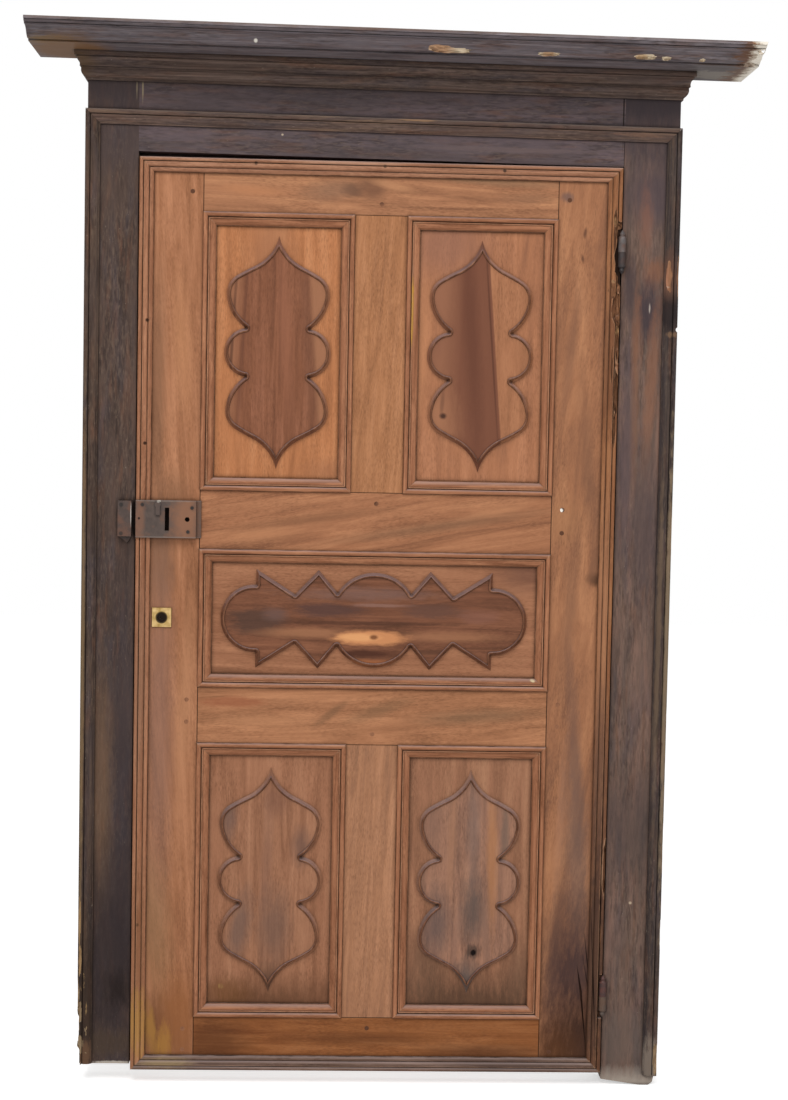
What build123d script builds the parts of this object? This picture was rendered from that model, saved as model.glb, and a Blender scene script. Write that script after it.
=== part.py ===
"""A panelled walnut door leaf hung in a painted frame with a cornice.

Millimetres, +Z up, +X to the right as seen from the room, +Y into the wall.
The origin is on the wall plane, in the middle of the hinge jamb's foot.
"""

import os
from math import atan2, cos, sin, tan

from build123d import *

os.makedirs("parts", exist_ok=True)

# Leaf
leaf_width = 1000
leaf_height = 1914
leaf_thickness = 40
stile_width = 131
muntin_width = 108
top_rail_height = 108
lock_rail_height = 122
lower_rail_height = 117
bottom_rail_height = 112
upper_opening_share = 0.3966
middle_opening_share = 0.2

# Joints of the leaf's timbers
groove_thickness = 10
groove_depth = 12
panel_tongue = 10
tenon_length = 80
tenon_shoulder = 16
muntin_tenon_length = 36
peg_radius = 5
peg_clearance = 0.05
peg_inset = 22
peg_length = 32
peg_row_shares = (0.37, 0.77)

# Panels and their mouldings
panel_recess = 10
panel_field_rise = 8
panel_field_taper = 75
panel_moulding_width = 28
panel_moulding_height = 16
mitre_gap = 0.4

# Cartouches
cartouche_margin = 18.5
wide_cartouche_margin = 13.5
tall_cartouche_aspect = 0.4587
wide_cartouche_aspect = 3.1
cartouche_rise = 6.5
cartouche_bevel_angle = 45

# Moulding round the leaf's edge
edge_moulding_width = 30
edge_moulding_height = 12

# Frame
jamb_depth = 70
left_jamb_face = 105
right_jamb_width = 132
rebate_lap = 14
side_gap = 3
back_gap = 0.5
leaf_foot_gap = 29
left_foot_height = 39
foot_inner_slope = 100
foot_outer_slope = 13
foot_tongue_rise = 25
foot_outer_rise = 24
right_architrave_foot = 22

# Head, which has sunk towards the hinge side
head_gap = 7
head_fall = 9
head_lap = 20
head_reveal = 53
head_tenon_length = 55
head_tenon_thickness = 24
head_tenon_height = 110
architrave_width = 30
architrave_height = 10
architrave_overhang = 4
frieze_height = 58
bed_height = 56
bed_projection = 26
crown_thickness = 36
crown_projection = 232
crown_left_overhang = 108
crown_right_overhang = 143
broken_end_slope = 17

# Hinges
barrel_radius = 8
knuckle_length = 30
knuckle_gap = 0.4
tip_length = 16
tip_neck_radius = 4.5
tip_ball_radius = 5.5
pin_radius = 4
pin_clearance = 0.05
pin_reach = 24
hinge_plate_thickness = 2.5
hinge_plate_depth = 34
barrel_clearance = 0.5
barrel_room = 1.5
upper_hinge_drop = 174
lower_hinge_height = 166
break_height = 120
break_depth = 15

# Lock
lock_width = 125
lock_height = 78
lock_depth = 16
lock_wall = 2.5
lock_flange = 10
lock_clearance = 0.3
keyhole_inset = 65
keyhole_width = 9
keyhole_height = 48
key_pocket_width = 26
key_pocket_depth = 9
bolt_length = 56
bolt_height = 44
bolt_guide_height = 8
slide_clearance = 0.4
talon_width = 10
talon_height = 14
spring_thickness = 1.2
spring_width = 8
spring_inset = 17
spring_span = 36
spindle_inset = 107
spindle_radius = 5
rivet_hole_radius = 2.5
stud_inset = 46
stud_width = 9
stud_height = 22
stud_rise = 4
stud_drop = 9
stud_head_share = 0.7

# Nails in the ironwork
nail_head_radius = 3.5
nail_head_height = 1.6
nail_shank_radius = 1.5
nail_clearance = 0.05
nail_length = 24
lock_nail_shares = ((0.11, 0.88), (0.935, 0.81), (0.87, 0.17))
lock_hole_share = (0.055, 0.51)
keeper_nail_shares = ((0.25, 0.89), (0.25, 0.08))

# Keeper
keeper_width = 28
keeper_height = 74
keeper_depth = 17
keeper_wall = 2.5
keeper_setback = 6
keeper_tail = 14
keeper_tail_share = 0.35

# Second lock
escutcheon_size = 41
escutcheon_thickness = 2.5
escutcheon_inset = 55
cylinder_radius = 10
cylinder_clearance = 0.05
cylinder_setback = 1.5
cylinder_length = 34
cylinder_core_radius = 4
cylinder_core_recess = 2

# Wear
split_top_height = 232
split_wide_height = 175
split_foot_height = 40
split_width = 5
split_depth = 8
split_lean = 24

# One overrun serves all cuts
overrun = 5

# Sections of the mouldings, each step a line to a point or an arc by a point to a point
panel_moulding_shares = (
    ((0, 0),),
    ((0, 0.74),),
    ((0.18, 1), (0.36, 0.74)),
    ((0.36, 0.58),),
    ((0.43, 0.58),),
    ((0.43, 0.7),),
    ((0.5, 0.7),),
    ((0.5, 0.6),),
    ((0.8, 0.52), (0.95, 0.24)),
    ((1, 0.24),),
    ((1, 0),),
)
edge_moulding_shares = (
    ((0, 0),),
    ((0, 0.7),),
    ((0.13, 1), (0.27, 0.7)),
    ((0.27, 0.5),),
    ((0.32, 0.5),),
    ((0.32, 0.86),),
    ((0.4, 0.86),),
    ((0.6, 0.78), (0.67, 0.5)),
    ((0.72, 0.5),),
    ((0.72, 0.58),),
    ((0.9, 0.55), (1, 0.3)),
    ((1, 0),),
)
architrave_shares = (
    ((0, 0),),
    ((0, 0.74),),
    ((0.16, 1), (0.32, 0.74)),
    ((0.32, 0.45),),
    ((0.38, 0.45),),
    ((0.38, 0.74),),
    ((0.55, 0.74),),
    ((0.8, 0.62), (0.92, 0.34)),
    ((1, 0.34),),
    ((1, 0),),
)
bed_shares = (
    ((0, 0),),
    ((0, 0.16),),
    ((0.08, 0.16),),
    ((0.18, 0.42), (0.4, 0.5)),
    ((0.46, 0.5),),
    ((0.46, 0.62),),
    ((0.66, 0.66), (0.78, 0.84)),
    ((0.82, 0.84),),
    ((0.82, 1),),
    ((1, 1),),
    ((1, 0),),
)
crown_shares = (
    ((0, 0),),
    ((0.71, 0),),
    ((0.71, 0.1),),
    ((0.8, 0.18), (0.835, 0.36)),
    ((0.872, 0.53), (0.955, 0.6)),
    ((0.955, 0.66),),
    ((0.94, 0.66),),
    ((0.94, 0.7),),
    ((0.975, 0.74), (0.985, 0.84)),
    ((1, 0.84),),
    ((1, 1),),
    ((0, 1),),
)

# Outlines of the cartouches, a quarter each, in shares of their half width and half height:
# the first step is a point or an arch over the upright axis, the last is the middle of the end lobe
tall_cartouche_shares = (
    ((0, 1),),
    ((-0.235, 0.808), (-0.456, 0.738)),
    ((-0.78, 0.657),),
    ((-0.965, 0.475),),
    ((-0.6, 0.208),),
    ((-1, 0),),
)
wide_cartouche_shares = (
    ((0, 0.96), (-0.241, 0.54)),
    ((-0.365, 1),),
    ((-0.517, 0.5),),
    ((-0.771, 1),),
    ((-0.771, 0.683),),
    ((-1, 0),),
)

# Places across the door
jamb_tongue_right = -right_jamb_width / 2
jamb_inner_right = jamb_tongue_right + rebate_lap + side_gap
jamb_outer_right = right_jamb_width / 2
leaf_right = jamb_inner_right - side_gap
leaf_left = leaf_right - leaf_width
leaf_middle = leaf_left + leaf_width / 2
jamb_inner_left = leaf_left - side_gap
jamb_tongue_left = leaf_left + rebate_lap
jamb_outer_left = jamb_inner_left - left_jamb_face
stile_left = leaf_left + stile_width
stile_right = leaf_right - stile_width
muntin_left = leaf_middle - muntin_width / 2
muntin_right = leaf_middle + muntin_width / 2

# Places up the door
leaf_bottom = leaf_foot_gap
leaf_top = leaf_bottom + leaf_height
lower_opening_bottom = leaf_bottom + bottom_rail_height
free_height = leaf_height - top_rail_height - lock_rail_height - lower_rail_height - bottom_rail_height
upper_opening_top = leaf_top - top_rail_height
upper_opening_bottom = upper_opening_top - upper_opening_share * free_height
middle_opening_top = upper_opening_bottom - lock_rail_height
middle_opening_bottom = middle_opening_top - middle_opening_share * free_height
lower_opening_top = middle_opening_bottom - lower_rail_height

# Distances from the wall towards the room
leaf_back = jamb_depth - leaf_thickness
rebate_face = leaf_back - back_gap
leaf_face = jamb_depth
panel_face = leaf_face - panel_recess
groove_back = panel_face - groove_thickness

# The head's own plane: it falls towards the hinge side
head_angle = atan2(head_fall, leaf_width)
along_head = Vector(cos(head_angle), 0, -sin(head_angle))
up_head = Vector(sin(head_angle), 0, cos(head_angle))
to_room = Vector(0, -1, 0)
head_level = leaf_top + head_gap
strip_level = head_reveal
frieze_level = strip_level + architrave_width
bed_level = frieze_level + frieze_height
crown_level = bed_level + bed_height


def head_z(x, level=0):
    """Height at x of a line that lies level above the head's lower edge."""
    return head_level + level / cos(head_angle) - (x - leaf_middle) * tan(head_angle)


def section_edges(shares, width, height):
    """Edges of a closed moulding section, scaled from its shares."""
    with BuildLine() as section:
        here = shares[0][-1]
        for step in shares[1:]:
            points = [here, *step]
            scaled = [(u * width, v * height) for u, v in points]
            if len(points) == 2:
                Line(*scaled)
            else:
                ThreePointArc(*scaled)
            here = step[-1]
        first = shares[0][-1]
        Line((here[0] * width, here[1] * height), (first[0] * width, first[1] * height))
    return section.edges()


def mitred_strip(start, end, before, after, across, shares, width, height):
    """One moulded strip from start to end, mitred to the directions before and after it."""
    along = (end - start).normalized()
    reach = width + height
    start_normal = (before + along).normalized()
    end_normal = (along + after).normalized()
    with BuildPart() as strip:
        with BuildSketch(Plane(origin=start - along * reach, x_dir=across, z_dir=along)):
            make_face(section_edges(shares, width, height))
        extrude(amount=(end - start).length + 2 * reach)
        split(bisect_by=Plane(start + start_normal * (mitre_gap / 2), z_dir=start_normal), keep=Keep.TOP)
        split(bisect_by=Plane(end - end_normal * (mitre_gap / 2), z_dir=end_normal), keep=Keep.BOTTOM)
    return strip.part


def ring_strips(left, right, bottom, top, level, shares, width, height):
    """Four mitred strips round the inside of a rectangle that lies level in front of the wall."""
    corners = [
        Vector(right, -level, top),
        Vector(left, -level, top),
        Vector(left, -level, bottom),
        Vector(right, -level, bottom),
    ]
    sides = [(corners[i], corners[(i + 1) % 4]) for i in range(4)]
    ways = [(end - start).normalized() for start, end in sides]
    return [
        mitred_strip(
            *sides[i], ways[i - 1], ways[(i + 1) % 4], to_room.cross(ways[i]), shares, width, height
        )
        for i in range(4)
    ]


def mirrored_outline(shares, width, height, smooth):
    """Edges of an outline drawn as one quarter and mirrored, closed over the axes by arcs or a point.

    One-point steps are straight, or run on smoothly from the arc before them.
    """
    first, *middle, last = [[(u * width / 2, v * height / 2) for u, v in step] for step in shares]
    here = first[-1]
    with BuildLine() as outline:
        for step in middle:
            if len(step) == 2:
                piece = ThreePointArc(here, *step)
            elif smooth:
                piece = TangentArc(here, *step, tangent=piece % 1)
            else:
                piece = Line(here, *step)
            here = step[-1]
        mirror(about=Plane.YZ)
        if len(first) == 2:
            ThreePointArc(first[1], first[0], (-first[1][0], first[1][1]))
        mirror(about=Plane.XZ)
        ThreePointArc(here, last[0], (here[0], -here[1]))
        ThreePointArc((-here[0], here[1]), (-last[0][0], 0), (-here[0], -here[1]))
    return outline.edges()


def front_box(left, right, bottom, top, back, front, mode=Mode.ADD):
    """A box given by its sides, with back and front measured from the wall."""
    with Locations(((left + right) / 2, -(back + front) / 2, (bottom + top) / 2)):
        Box(right - left, front - back, top - bottom, mode=mode)


# Panel openings, by name: left, right, bottom and top
openings = {
    "upper_left": (stile_left, muntin_left, upper_opening_bottom, upper_opening_top),
    "upper_right": (muntin_right, stile_right, upper_opening_bottom, upper_opening_top),
    "middle": (stile_left, stile_right, middle_opening_bottom, middle_opening_top),
    "lower_left": (stile_left, muntin_left, lower_opening_bottom, lower_opening_top),
    "lower_right": (muntin_right, stile_right, lower_opening_bottom, lower_opening_top),
}

# Rails, by name: bottom and top
rails = {
    "top_rail": (upper_opening_top, leaf_top),
    "lock_rail": (middle_opening_top, upper_opening_bottom),
    "lower_rail": (lower_opening_top, middle_opening_bottom),
    "bottom_rail": (leaf_bottom, lower_opening_bottom),
}

# Muntins, by name: bottom and top
muntins = {
    "upper_muntin": (upper_opening_bottom, upper_opening_top),
    "lower_muntin": (lower_opening_bottom, lower_opening_top),
}

# Pegs: two through each rail tenon, one through each muntin tenon
peg_places = []
for bottom, top in rails.values():
    for share in peg_row_shares:
        height = bottom + share * (top - bottom)
        peg_places.append((stile_left - peg_inset, height))
        peg_places.append((stile_right + peg_inset, height))
for bottom, top in muntins.values():
    peg_places.append((leaf_middle, bottom - peg_inset))
    peg_places.append((leaf_middle, top + peg_inset))


def cut_grooves():
    """Plough the panel grooves out of the timber being made."""
    for left, right, bottom, top in openings.values():
        front_box(
            left - groove_depth,
            right + groove_depth,
            bottom - groove_depth,
            top + groove_depth,
            groove_back,
            panel_face,
            mode=Mode.SUBTRACT,
        )


def bore_pegs():
    """Bore the peg holes through the timber being made, from the front."""
    with BuildSketch(Plane.XZ.offset(leaf_face)) as holes:
        with Locations(*peg_places):
            RegularPolygon(peg_radius, 8)
    extrude(holes.sketch, amount=-peg_length, mode=Mode.SUBTRACT)


# Hinge places
hinge_x = leaf_right + side_gap / 2
hinge_y = -(jamb_depth + barrel_radius + barrel_clearance)
hinge_heights = {
    "upper": leaf_top - upper_hinge_drop,
    "lower": leaf_bottom + lower_hinge_height,
}
hinge_half = knuckle_length + tip_length
plate_back = jamb_depth - hinge_plate_depth

# Lock places
lock_left = leaf_left
lock_right = lock_left + lock_width
lock_middle = (middle_opening_top + upper_opening_bottom) / 2
lock_bottom = lock_middle - lock_height / 2
lock_top = lock_middle + lock_height / 2
lock_front = leaf_face + lock_depth
keyhole_x = lock_left + keyhole_inset
escutcheon_x = leaf_left + escutcheon_inset
escutcheon_z = (middle_opening_bottom + middle_opening_top) / 2

bolt_bottom = lock_middle - bolt_height / 2
bolt_top = lock_middle + bolt_height / 2
lock_nail_places = [
    (lock_left + u * lock_width, lock_bottom + v * lock_height) for u, v in lock_nail_shares
]

# Keeper places
keeper_right = jamb_inner_left - keeper_setback
keeper_left = keeper_right - keeper_width
keeper_bottom = lock_middle - keeper_height / 2
keeper_top = lock_middle + keeper_height / 2
keeper_front = jamb_depth + keeper_depth
keeper_nail_places = [
    (keeper_left + u * keeper_width, keeper_bottom + v * keeper_height) for u, v in keeper_nail_shares
]


def bore_nails(places, front):
    """Bore the nail holes through the piece being made, from the ironwork's front."""
    with BuildSketch(Plane.XZ.offset(front)) as holes:
        with Locations(*places):
            RegularPolygon(nail_shank_radius + nail_clearance, 8)
    extrude(holes.sketch, amount=-nail_length, mode=Mode.SUBTRACT)


def nails(places, front):
    """Hand-made nails with eight-sided heads, driven in from the ironwork's front."""
    with BuildPart() as group:
        with BuildSketch(Plane.XZ.offset(front)) as shanks:
            with Locations(*places):
                RegularPolygon(nail_shank_radius, 8)
        extrude(shanks.sketch, amount=-nail_length)
        with BuildSketch(Plane.XZ.offset(front)) as heads:
            with Locations(*places):
                RegularPolygon(nail_head_radius, 8)
        extrude(heads.sketch, amount=nail_head_height)
    return group.part


# Underside of the cornice crown, where the jambs end
soffit = Plane((leaf_middle, 0, head_z(leaf_middle, crown_level)), z_dir=up_head)

# Left jamb: a rebated timber, cut short at the foot
with BuildPart() as left_jamb:
    with BuildSketch(Plane.XY.offset(left_foot_height)):
        with BuildLine():
            Polyline(
                (jamb_outer_left, 0),
                (jamb_outer_left, -jamb_depth),
                (jamb_inner_left, -jamb_depth),
                (jamb_inner_left, -rebate_face),
                (jamb_tongue_left, -rebate_face),
                (jamb_tongue_left, 0),
                close=True,
            )
        make_face()
    extrude(amount=head_z(jamb_outer_left, crown_level))
    split(bisect_by=soffit, keep=Keep.BOTTOM)
    front_box(
        jamb_inner_left - head_tenon_length,
        jamb_inner_left,
        head_z(leaf_middle, strip_level),
        head_z(leaf_middle, strip_level) + head_tenon_height,
        rebate_face,
        rebate_face + head_tenon_thickness,
        mode=Mode.SUBTRACT,
    )
    bore_nails(keeper_nail_places, keeper_front)
left_jamb.part.label = "left_jamb"
export_step(left_jamb.part, "parts/left_jamb.step")

# Right jamb: its foot is worn round, lowest near the outer corner
with BuildPart() as right_jamb:
    with BuildSketch():
        with BuildLine():
            Polyline(
                (jamb_outer_right, 0),
                (jamb_outer_right, -jamb_depth),
                (jamb_inner_right, -jamb_depth),
                (jamb_inner_right, -rebate_face),
                (jamb_tongue_right, -rebate_face),
                (jamb_tongue_right, 0),
                close=True,
            )
        make_face()
    extrude(amount=head_z(jamb_inner_right, crown_level))
    split(bisect_by=soffit, keep=Keep.BOTTOM)
    with BuildSketch(Plane.XZ.offset(-overrun)) as worn_foot:
        with BuildLine():
            Polyline(
                (jamb_tongue_right - overrun, foot_tongue_rise + overrun),
                (jamb_tongue_right, foot_tongue_rise),
                (jamb_inner_right, foot_tongue_rise / 2),
                (jamb_tongue_right + foot_inner_slope, 0),
                (jamb_tongue_right + foot_inner_slope, -overrun),
                (jamb_tongue_right - overrun, -overrun),
                close=True,
            )
        make_face()
        with BuildLine():
            Polyline(
                (jamb_outer_right - foot_outer_slope, 0),
                (jamb_outer_right - foot_outer_slope / 3, foot_outer_rise / 4),
                (jamb_outer_right, foot_outer_rise),
                (jamb_outer_right + overrun, foot_outer_rise + overrun),
                (jamb_outer_right + overrun, -overrun),
                (jamb_outer_right - foot_outer_slope, -overrun),
                close=True,
            )
        make_face()
    extrude(worn_foot.sketch, amount=jamb_depth + 2 * overrun, mode=Mode.SUBTRACT)
    front_box(
        jamb_inner_right,
        jamb_inner_right + head_tenon_length,
        head_z(leaf_middle, strip_level),
        head_z(leaf_middle, strip_level) + head_tenon_height,
        rebate_face,
        rebate_face + head_tenon_thickness,
        mode=Mode.SUBTRACT,
    )
    for height in hinge_heights.values():
        front_box(
            jamb_inner_right,
            jamb_inner_right + hinge_plate_thickness,
            height - knuckle_length,
            height,
            plate_back,
            jamb_depth,
            mode=Mode.SUBTRACT,
        )
right_jamb.part.label = "right_jamb"
export_step(right_jamb.part, "parts/right_jamb.step")

# Head board: frieze and door head in one, with a rebate tongue behind the leaf's top
with BuildPart() as head_board:
    with BuildSketch(Plane.XZ.offset(rebate_face)):
        with BuildLine():
            Polyline(
                (jamb_inner_left, head_z(jamb_inner_left)),
                (jamb_inner_right, head_z(jamb_inner_right)),
                (jamb_inner_right, head_z(jamb_inner_right, crown_level)),
                (jamb_inner_left, head_z(jamb_inner_left, crown_level)),
                close=True,
            )
        make_face()
    extrude(amount=jamb_depth - rebate_face)
    with BuildSketch(Plane.XZ):
        with BuildLine():
            Polyline(
                (jamb_tongue_left, head_z(jamb_tongue_left, -head_lap)),
                (jamb_tongue_right, head_z(jamb_tongue_right, -head_lap)),
                (jamb_tongue_right, head_z(jamb_tongue_right, crown_level)),
                (jamb_tongue_left, head_z(jamb_tongue_left, crown_level)),
                close=True,
            )
        make_face()
    extrude(amount=rebate_face)
    front_box(
        jamb_inner_left - head_tenon_length,
        jamb_inner_right + head_tenon_length,
        head_z(leaf_middle, strip_level),
        head_z(leaf_middle, strip_level) + head_tenon_height,
        rebate_face,
        rebate_face + head_tenon_thickness,
    )
head_board.part.label = "head_board"
export_step(head_board.part, "parts/head_board.step")

# Architrave: three moulded strips on the face, mitred at the top corners
architrave_left_x = jamb_outer_left - architrave_overhang
architrave_right_x = jamb_outer_right + architrave_overhang
architrave_top_left = Vector(architrave_left_x, -jamb_depth, head_z(architrave_left_x, frieze_level))
architrave_top_right = Vector(architrave_right_x, -jamb_depth, head_z(architrave_right_x, frieze_level))
down = Vector(0, 0, -1)
up = Vector(0, 0, 1)
to_left = Vector(-1, 0, 0)
to_right = Vector(1, 0, 0)
architraves = {
    "architrave_left": (
        architrave_top_left,
        Vector(architrave_left_x, -jamb_depth, left_foot_height),
        along_head * -1,
        down,
        to_right,
    ),
    "architrave_top": (architrave_top_right, architrave_top_left, up, down, up_head * -1),
    "architrave_right": (
        Vector(architrave_right_x, -jamb_depth, right_architrave_foot),
        architrave_top_right,
        up,
        along_head * -1,
        to_left,
    ),
}
for name, ends in architraves.items():
    strip = mitred_strip(*ends, architrave_shares, architrave_width, architrave_height)
    strip.label = name
    export_step(strip, f"parts/{name}.step")

# Cornice bed moulding: a front length with a return at each end
bed_corners = [
    Vector(x, -depth, head_z(x, bed_level))
    for x, depth in (
        (jamb_outer_left, 0),
        (jamb_outer_left, jamb_depth),
        (jamb_outer_right, jamb_depth),
        (jamb_outer_right, 0),
    )
]
to_wall = to_room * -1
bed_lengths = [
    mitred_strip(
        bed_corners[0], bed_corners[1], to_room, along_head, up_head, bed_shares, bed_height, bed_projection
    ),
    mitred_strip(
        bed_corners[1], bed_corners[2], to_room, to_wall, up_head, bed_shares, bed_height, bed_projection
    ),
    mitred_strip(
        bed_corners[2], bed_corners[3], along_head, to_wall, up_head, bed_shares, bed_height, bed_projection
    ),
]
with BuildPart() as cornice_bed:
    add(bed_lengths)
    front_box(
        jamb_outer_left,
        jamb_outer_right,
        leaf_bottom,
        head_z(jamb_outer_left, crown_level),
        0,
        jamb_depth,
        mode=Mode.SUBTRACT,
    )
cornice_bed.part.label = "cornice_bed"
export_step(cornice_bed.part, "parts/cornice_bed.step")

# Cornice crown: a deep plank with a moulded front edge, its right end broken off at a slant
crown_left = jamb_outer_left - crown_left_overhang
crown_right = jamb_outer_right + crown_right_overhang
with BuildPart() as cornice_crown:
    crown_start = Vector(crown_right, 0, head_z(crown_right, crown_level))
    with BuildSketch(Plane(crown_start, x_dir=to_room, z_dir=along_head * -1)):
        make_face(section_edges(crown_shares, crown_projection, crown_thickness))
    extrude(amount=(crown_right - crown_left) / cos(head_angle))
    break_way = Vector(crown_thickness, 0, -broken_end_slope).normalized()
    split(
        bisect_by=Plane(crown_start + up_head * crown_thickness, z_dir=break_way),
        keep=Keep.BOTTOM,
    )
cornice_crown.part.label = "cornice_crown"
export_step(cornice_crown.part, "parts/cornice_crown.step")

# Stiles: full height, grooved for the panels and mortised for the rail tenons
for name, left, right, mortise_left, mortise_right in (
    ("lock_stile", leaf_left, stile_left, stile_left - tenon_length, stile_left),
    ("hinge_stile", stile_right, leaf_right, stile_right, stile_right + tenon_length),
):
    with BuildPart() as stile:
        front_box(left, right, leaf_bottom, leaf_top, leaf_back, leaf_face)
        cut_grooves()
        for bottom, top in rails.values():
            front_box(
                mortise_left,
                mortise_right,
                bottom + tenon_shoulder,
                top - tenon_shoulder,
                groove_back,
                panel_face,
                mode=Mode.SUBTRACT,
            )
        bore_pegs()
        if name == "lock_stile":
            bore_nails(lock_nail_places, lock_front)
            front_box(
                keyhole_x - key_pocket_width / 2,
                keyhole_x + key_pocket_width / 2,
                lock_middle - keyhole_height / 2,
                lock_middle + keyhole_height / 2,
                leaf_face - key_pocket_depth,
                leaf_face,
                mode=Mode.SUBTRACT,
            )
            with Locations(Plane.XZ.offset(leaf_face) * Pos(escutcheon_x, escutcheon_z)):
                Hole(cylinder_radius, depth=cylinder_length + cylinder_setback)
        else:
            for height in hinge_heights.values():
                front_box(
                    leaf_right - hinge_plate_thickness,
                    leaf_right,
                    height + knuckle_gap,
                    height + knuckle_gap + knuckle_length,
                    plate_back,
                    leaf_face,
                    mode=Mode.SUBTRACT,
                )
            with BuildSketch(Plane.XZ.offset(leaf_face)) as split_wood:
                split_right = leaf_right - edge_moulding_width
                with BuildLine():
                    Polyline(
                        (split_right - split_lean, leaf_bottom + split_top_height),
                        (split_right - split_lean / 2 - split_width, leaf_bottom + split_wide_height),
                        (split_right, leaf_bottom + split_foot_height),
                        (split_right - split_lean / 2, leaf_bottom + split_wide_height),
                        close=True,
                    )
                make_face()
            extrude(split_wood.sketch, amount=-split_depth, mode=Mode.SUBTRACT)
    stile.part.label = name
    export_step(stile.part, f"parts/{name}.step")

# Rails: tenoned into the stiles, mortised for the muntins
for name, (bottom, top) in rails.items():
    with BuildPart() as rail:
        front_box(stile_left, stile_right, bottom, top, leaf_back, leaf_face)
        front_box(
            stile_left - tenon_length,
            stile_right + tenon_length,
            bottom + tenon_shoulder,
            top - tenon_shoulder,
            groove_back,
            panel_face,
        )
        cut_grooves()
        for low, high in muntins.values():
            front_box(
                muntin_left + tenon_shoulder,
                muntin_right - tenon_shoulder,
                low - muntin_tenon_length,
                high + muntin_tenon_length,
                groove_back,
                panel_face,
                mode=Mode.SUBTRACT,
            )
        bore_pegs()
    rail.part.label = name
    export_step(rail.part, f"parts/{name}.step")

# Muntins: tenoned into the rails above and below
for name, (bottom, top) in muntins.items():
    with BuildPart() as muntin:
        front_box(muntin_left, muntin_right, bottom, top, leaf_back, leaf_face)
        front_box(
            muntin_left + tenon_shoulder,
            muntin_right - tenon_shoulder,
            bottom - muntin_tenon_length,
            top + muntin_tenon_length,
            groove_back,
            panel_face,
        )
        cut_grooves()
        bore_pegs()
    muntin.part.label = name
    export_step(muntin.part, f"parts/{name}.step")

# Pegs: eight-sided, riven and driven in from the front
with BuildPart() as joint_pegs:
    with BuildSketch(Plane.XZ.offset(leaf_face)) as peg_ends:
        with Locations(*peg_places):
            RegularPolygon(peg_radius - peg_clearance, 8)
    extrude(peg_ends.sketch, amount=-peg_length)
joint_pegs.part.label = "joint_pegs"
export_step(joint_pegs.part, "parts/joint_pegs.step")

# Panels: flat in front, with a raised field bevelled down to the tongue at the back
for name, (left, right, bottom, top) in openings.items():
    with BuildPart() as panel:
        front_box(
            left - panel_tongue,
            right + panel_tongue,
            bottom - panel_tongue,
            top + panel_tongue,
            groove_back,
            panel_face,
        )
        with BuildSketch(Plane.XZ.offset(groove_back)) as field:
            with Locations(((left + right) / 2, (bottom + top) / 2)):
                Rectangle(right - left, top - bottom)
        extrude(field.sketch, amount=-panel_field_rise, taper=panel_field_taper)
    panel.part.label = f"{name}_panel"
    export_step(panel.part, f"parts/{name}_panel.step")

# Panel mouldings: four mitred strips round each opening, bedded on the panel
for name, sides in openings.items():
    strips = ring_strips(
        *sides, panel_face, panel_moulding_shares, panel_moulding_width, panel_moulding_height
    )
    with BuildPart() as panel_moulding:
        add(strips)
    panel_moulding.part.label = f"{name}_moulding"
    export_step(panel_moulding.part, f"parts/{name}_moulding.step")

# Cartouches: raised boards with a bevelled edge, shaped flat and planted in the panels' middles,
# as large as the panel allows in their own proportions
for name, (left, right, bottom, top) in openings.items():
    tall = name != "middle"
    shares = tall_cartouche_shares if tall else wide_cartouche_shares
    aspect = tall_cartouche_aspect if tall else wide_cartouche_aspect
    end_margin = cartouche_margin if tall else wide_cartouche_margin
    room_across = right - left - 2 * (panel_moulding_width + cartouche_margin)
    room_up = top - bottom - 2 * (panel_moulding_width + end_margin)
    width = min(room_across, room_up * aspect)
    height = width / aspect
    with BuildPart() as board:
        with BuildSketch():
            make_face(mirrored_outline(shares, width, height, smooth=tall))
        extrude(amount=cartouche_rise, taper=cartouche_bevel_angle)
    panel_middle = ((left + right) / 2, -panel_face, (bottom + top) / 2)
    with BuildPart() as cartouche:
        with Locations(Plane(panel_middle, x_dir=to_right, z_dir=to_room)):
            add(board.part)
    cartouche.part.label = f"{name}_cartouche"
    export_step(cartouche.part, f"parts/{name}_cartouche.step")

# Moulding round the leaf's edge: four mitred strips, cut away for the lock and the hinges
edge_strips = ring_strips(
    leaf_left,
    leaf_right,
    leaf_bottom,
    leaf_top,
    leaf_face,
    edge_moulding_shares,
    edge_moulding_width,
    edge_moulding_height,
)
moulding_front = leaf_face + edge_moulding_height
with BuildPart() as edge_moulding_top:
    add(edge_strips[0])
edge_moulding_top.part.label = "edge_moulding_top"
export_step(edge_moulding_top.part, "parts/edge_moulding_top.step")

with BuildPart() as edge_moulding_left:
    add(edge_strips[1])
    front_box(
        leaf_left - overrun,
        leaf_left + edge_moulding_width + overrun,
        lock_bottom - lock_clearance,
        lock_top + lock_clearance,
        leaf_face,
        moulding_front + overrun,
        mode=Mode.SUBTRACT,
    )
edge_moulding_left.part.label = "edge_moulding_left"
export_step(edge_moulding_left.part, "parts/edge_moulding_left.step")

with BuildPart() as edge_moulding_bottom:
    add(edge_strips[2])
edge_moulding_bottom.part.label = "edge_moulding_bottom"
export_step(edge_moulding_bottom.part, "parts/edge_moulding_bottom.step")

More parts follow.
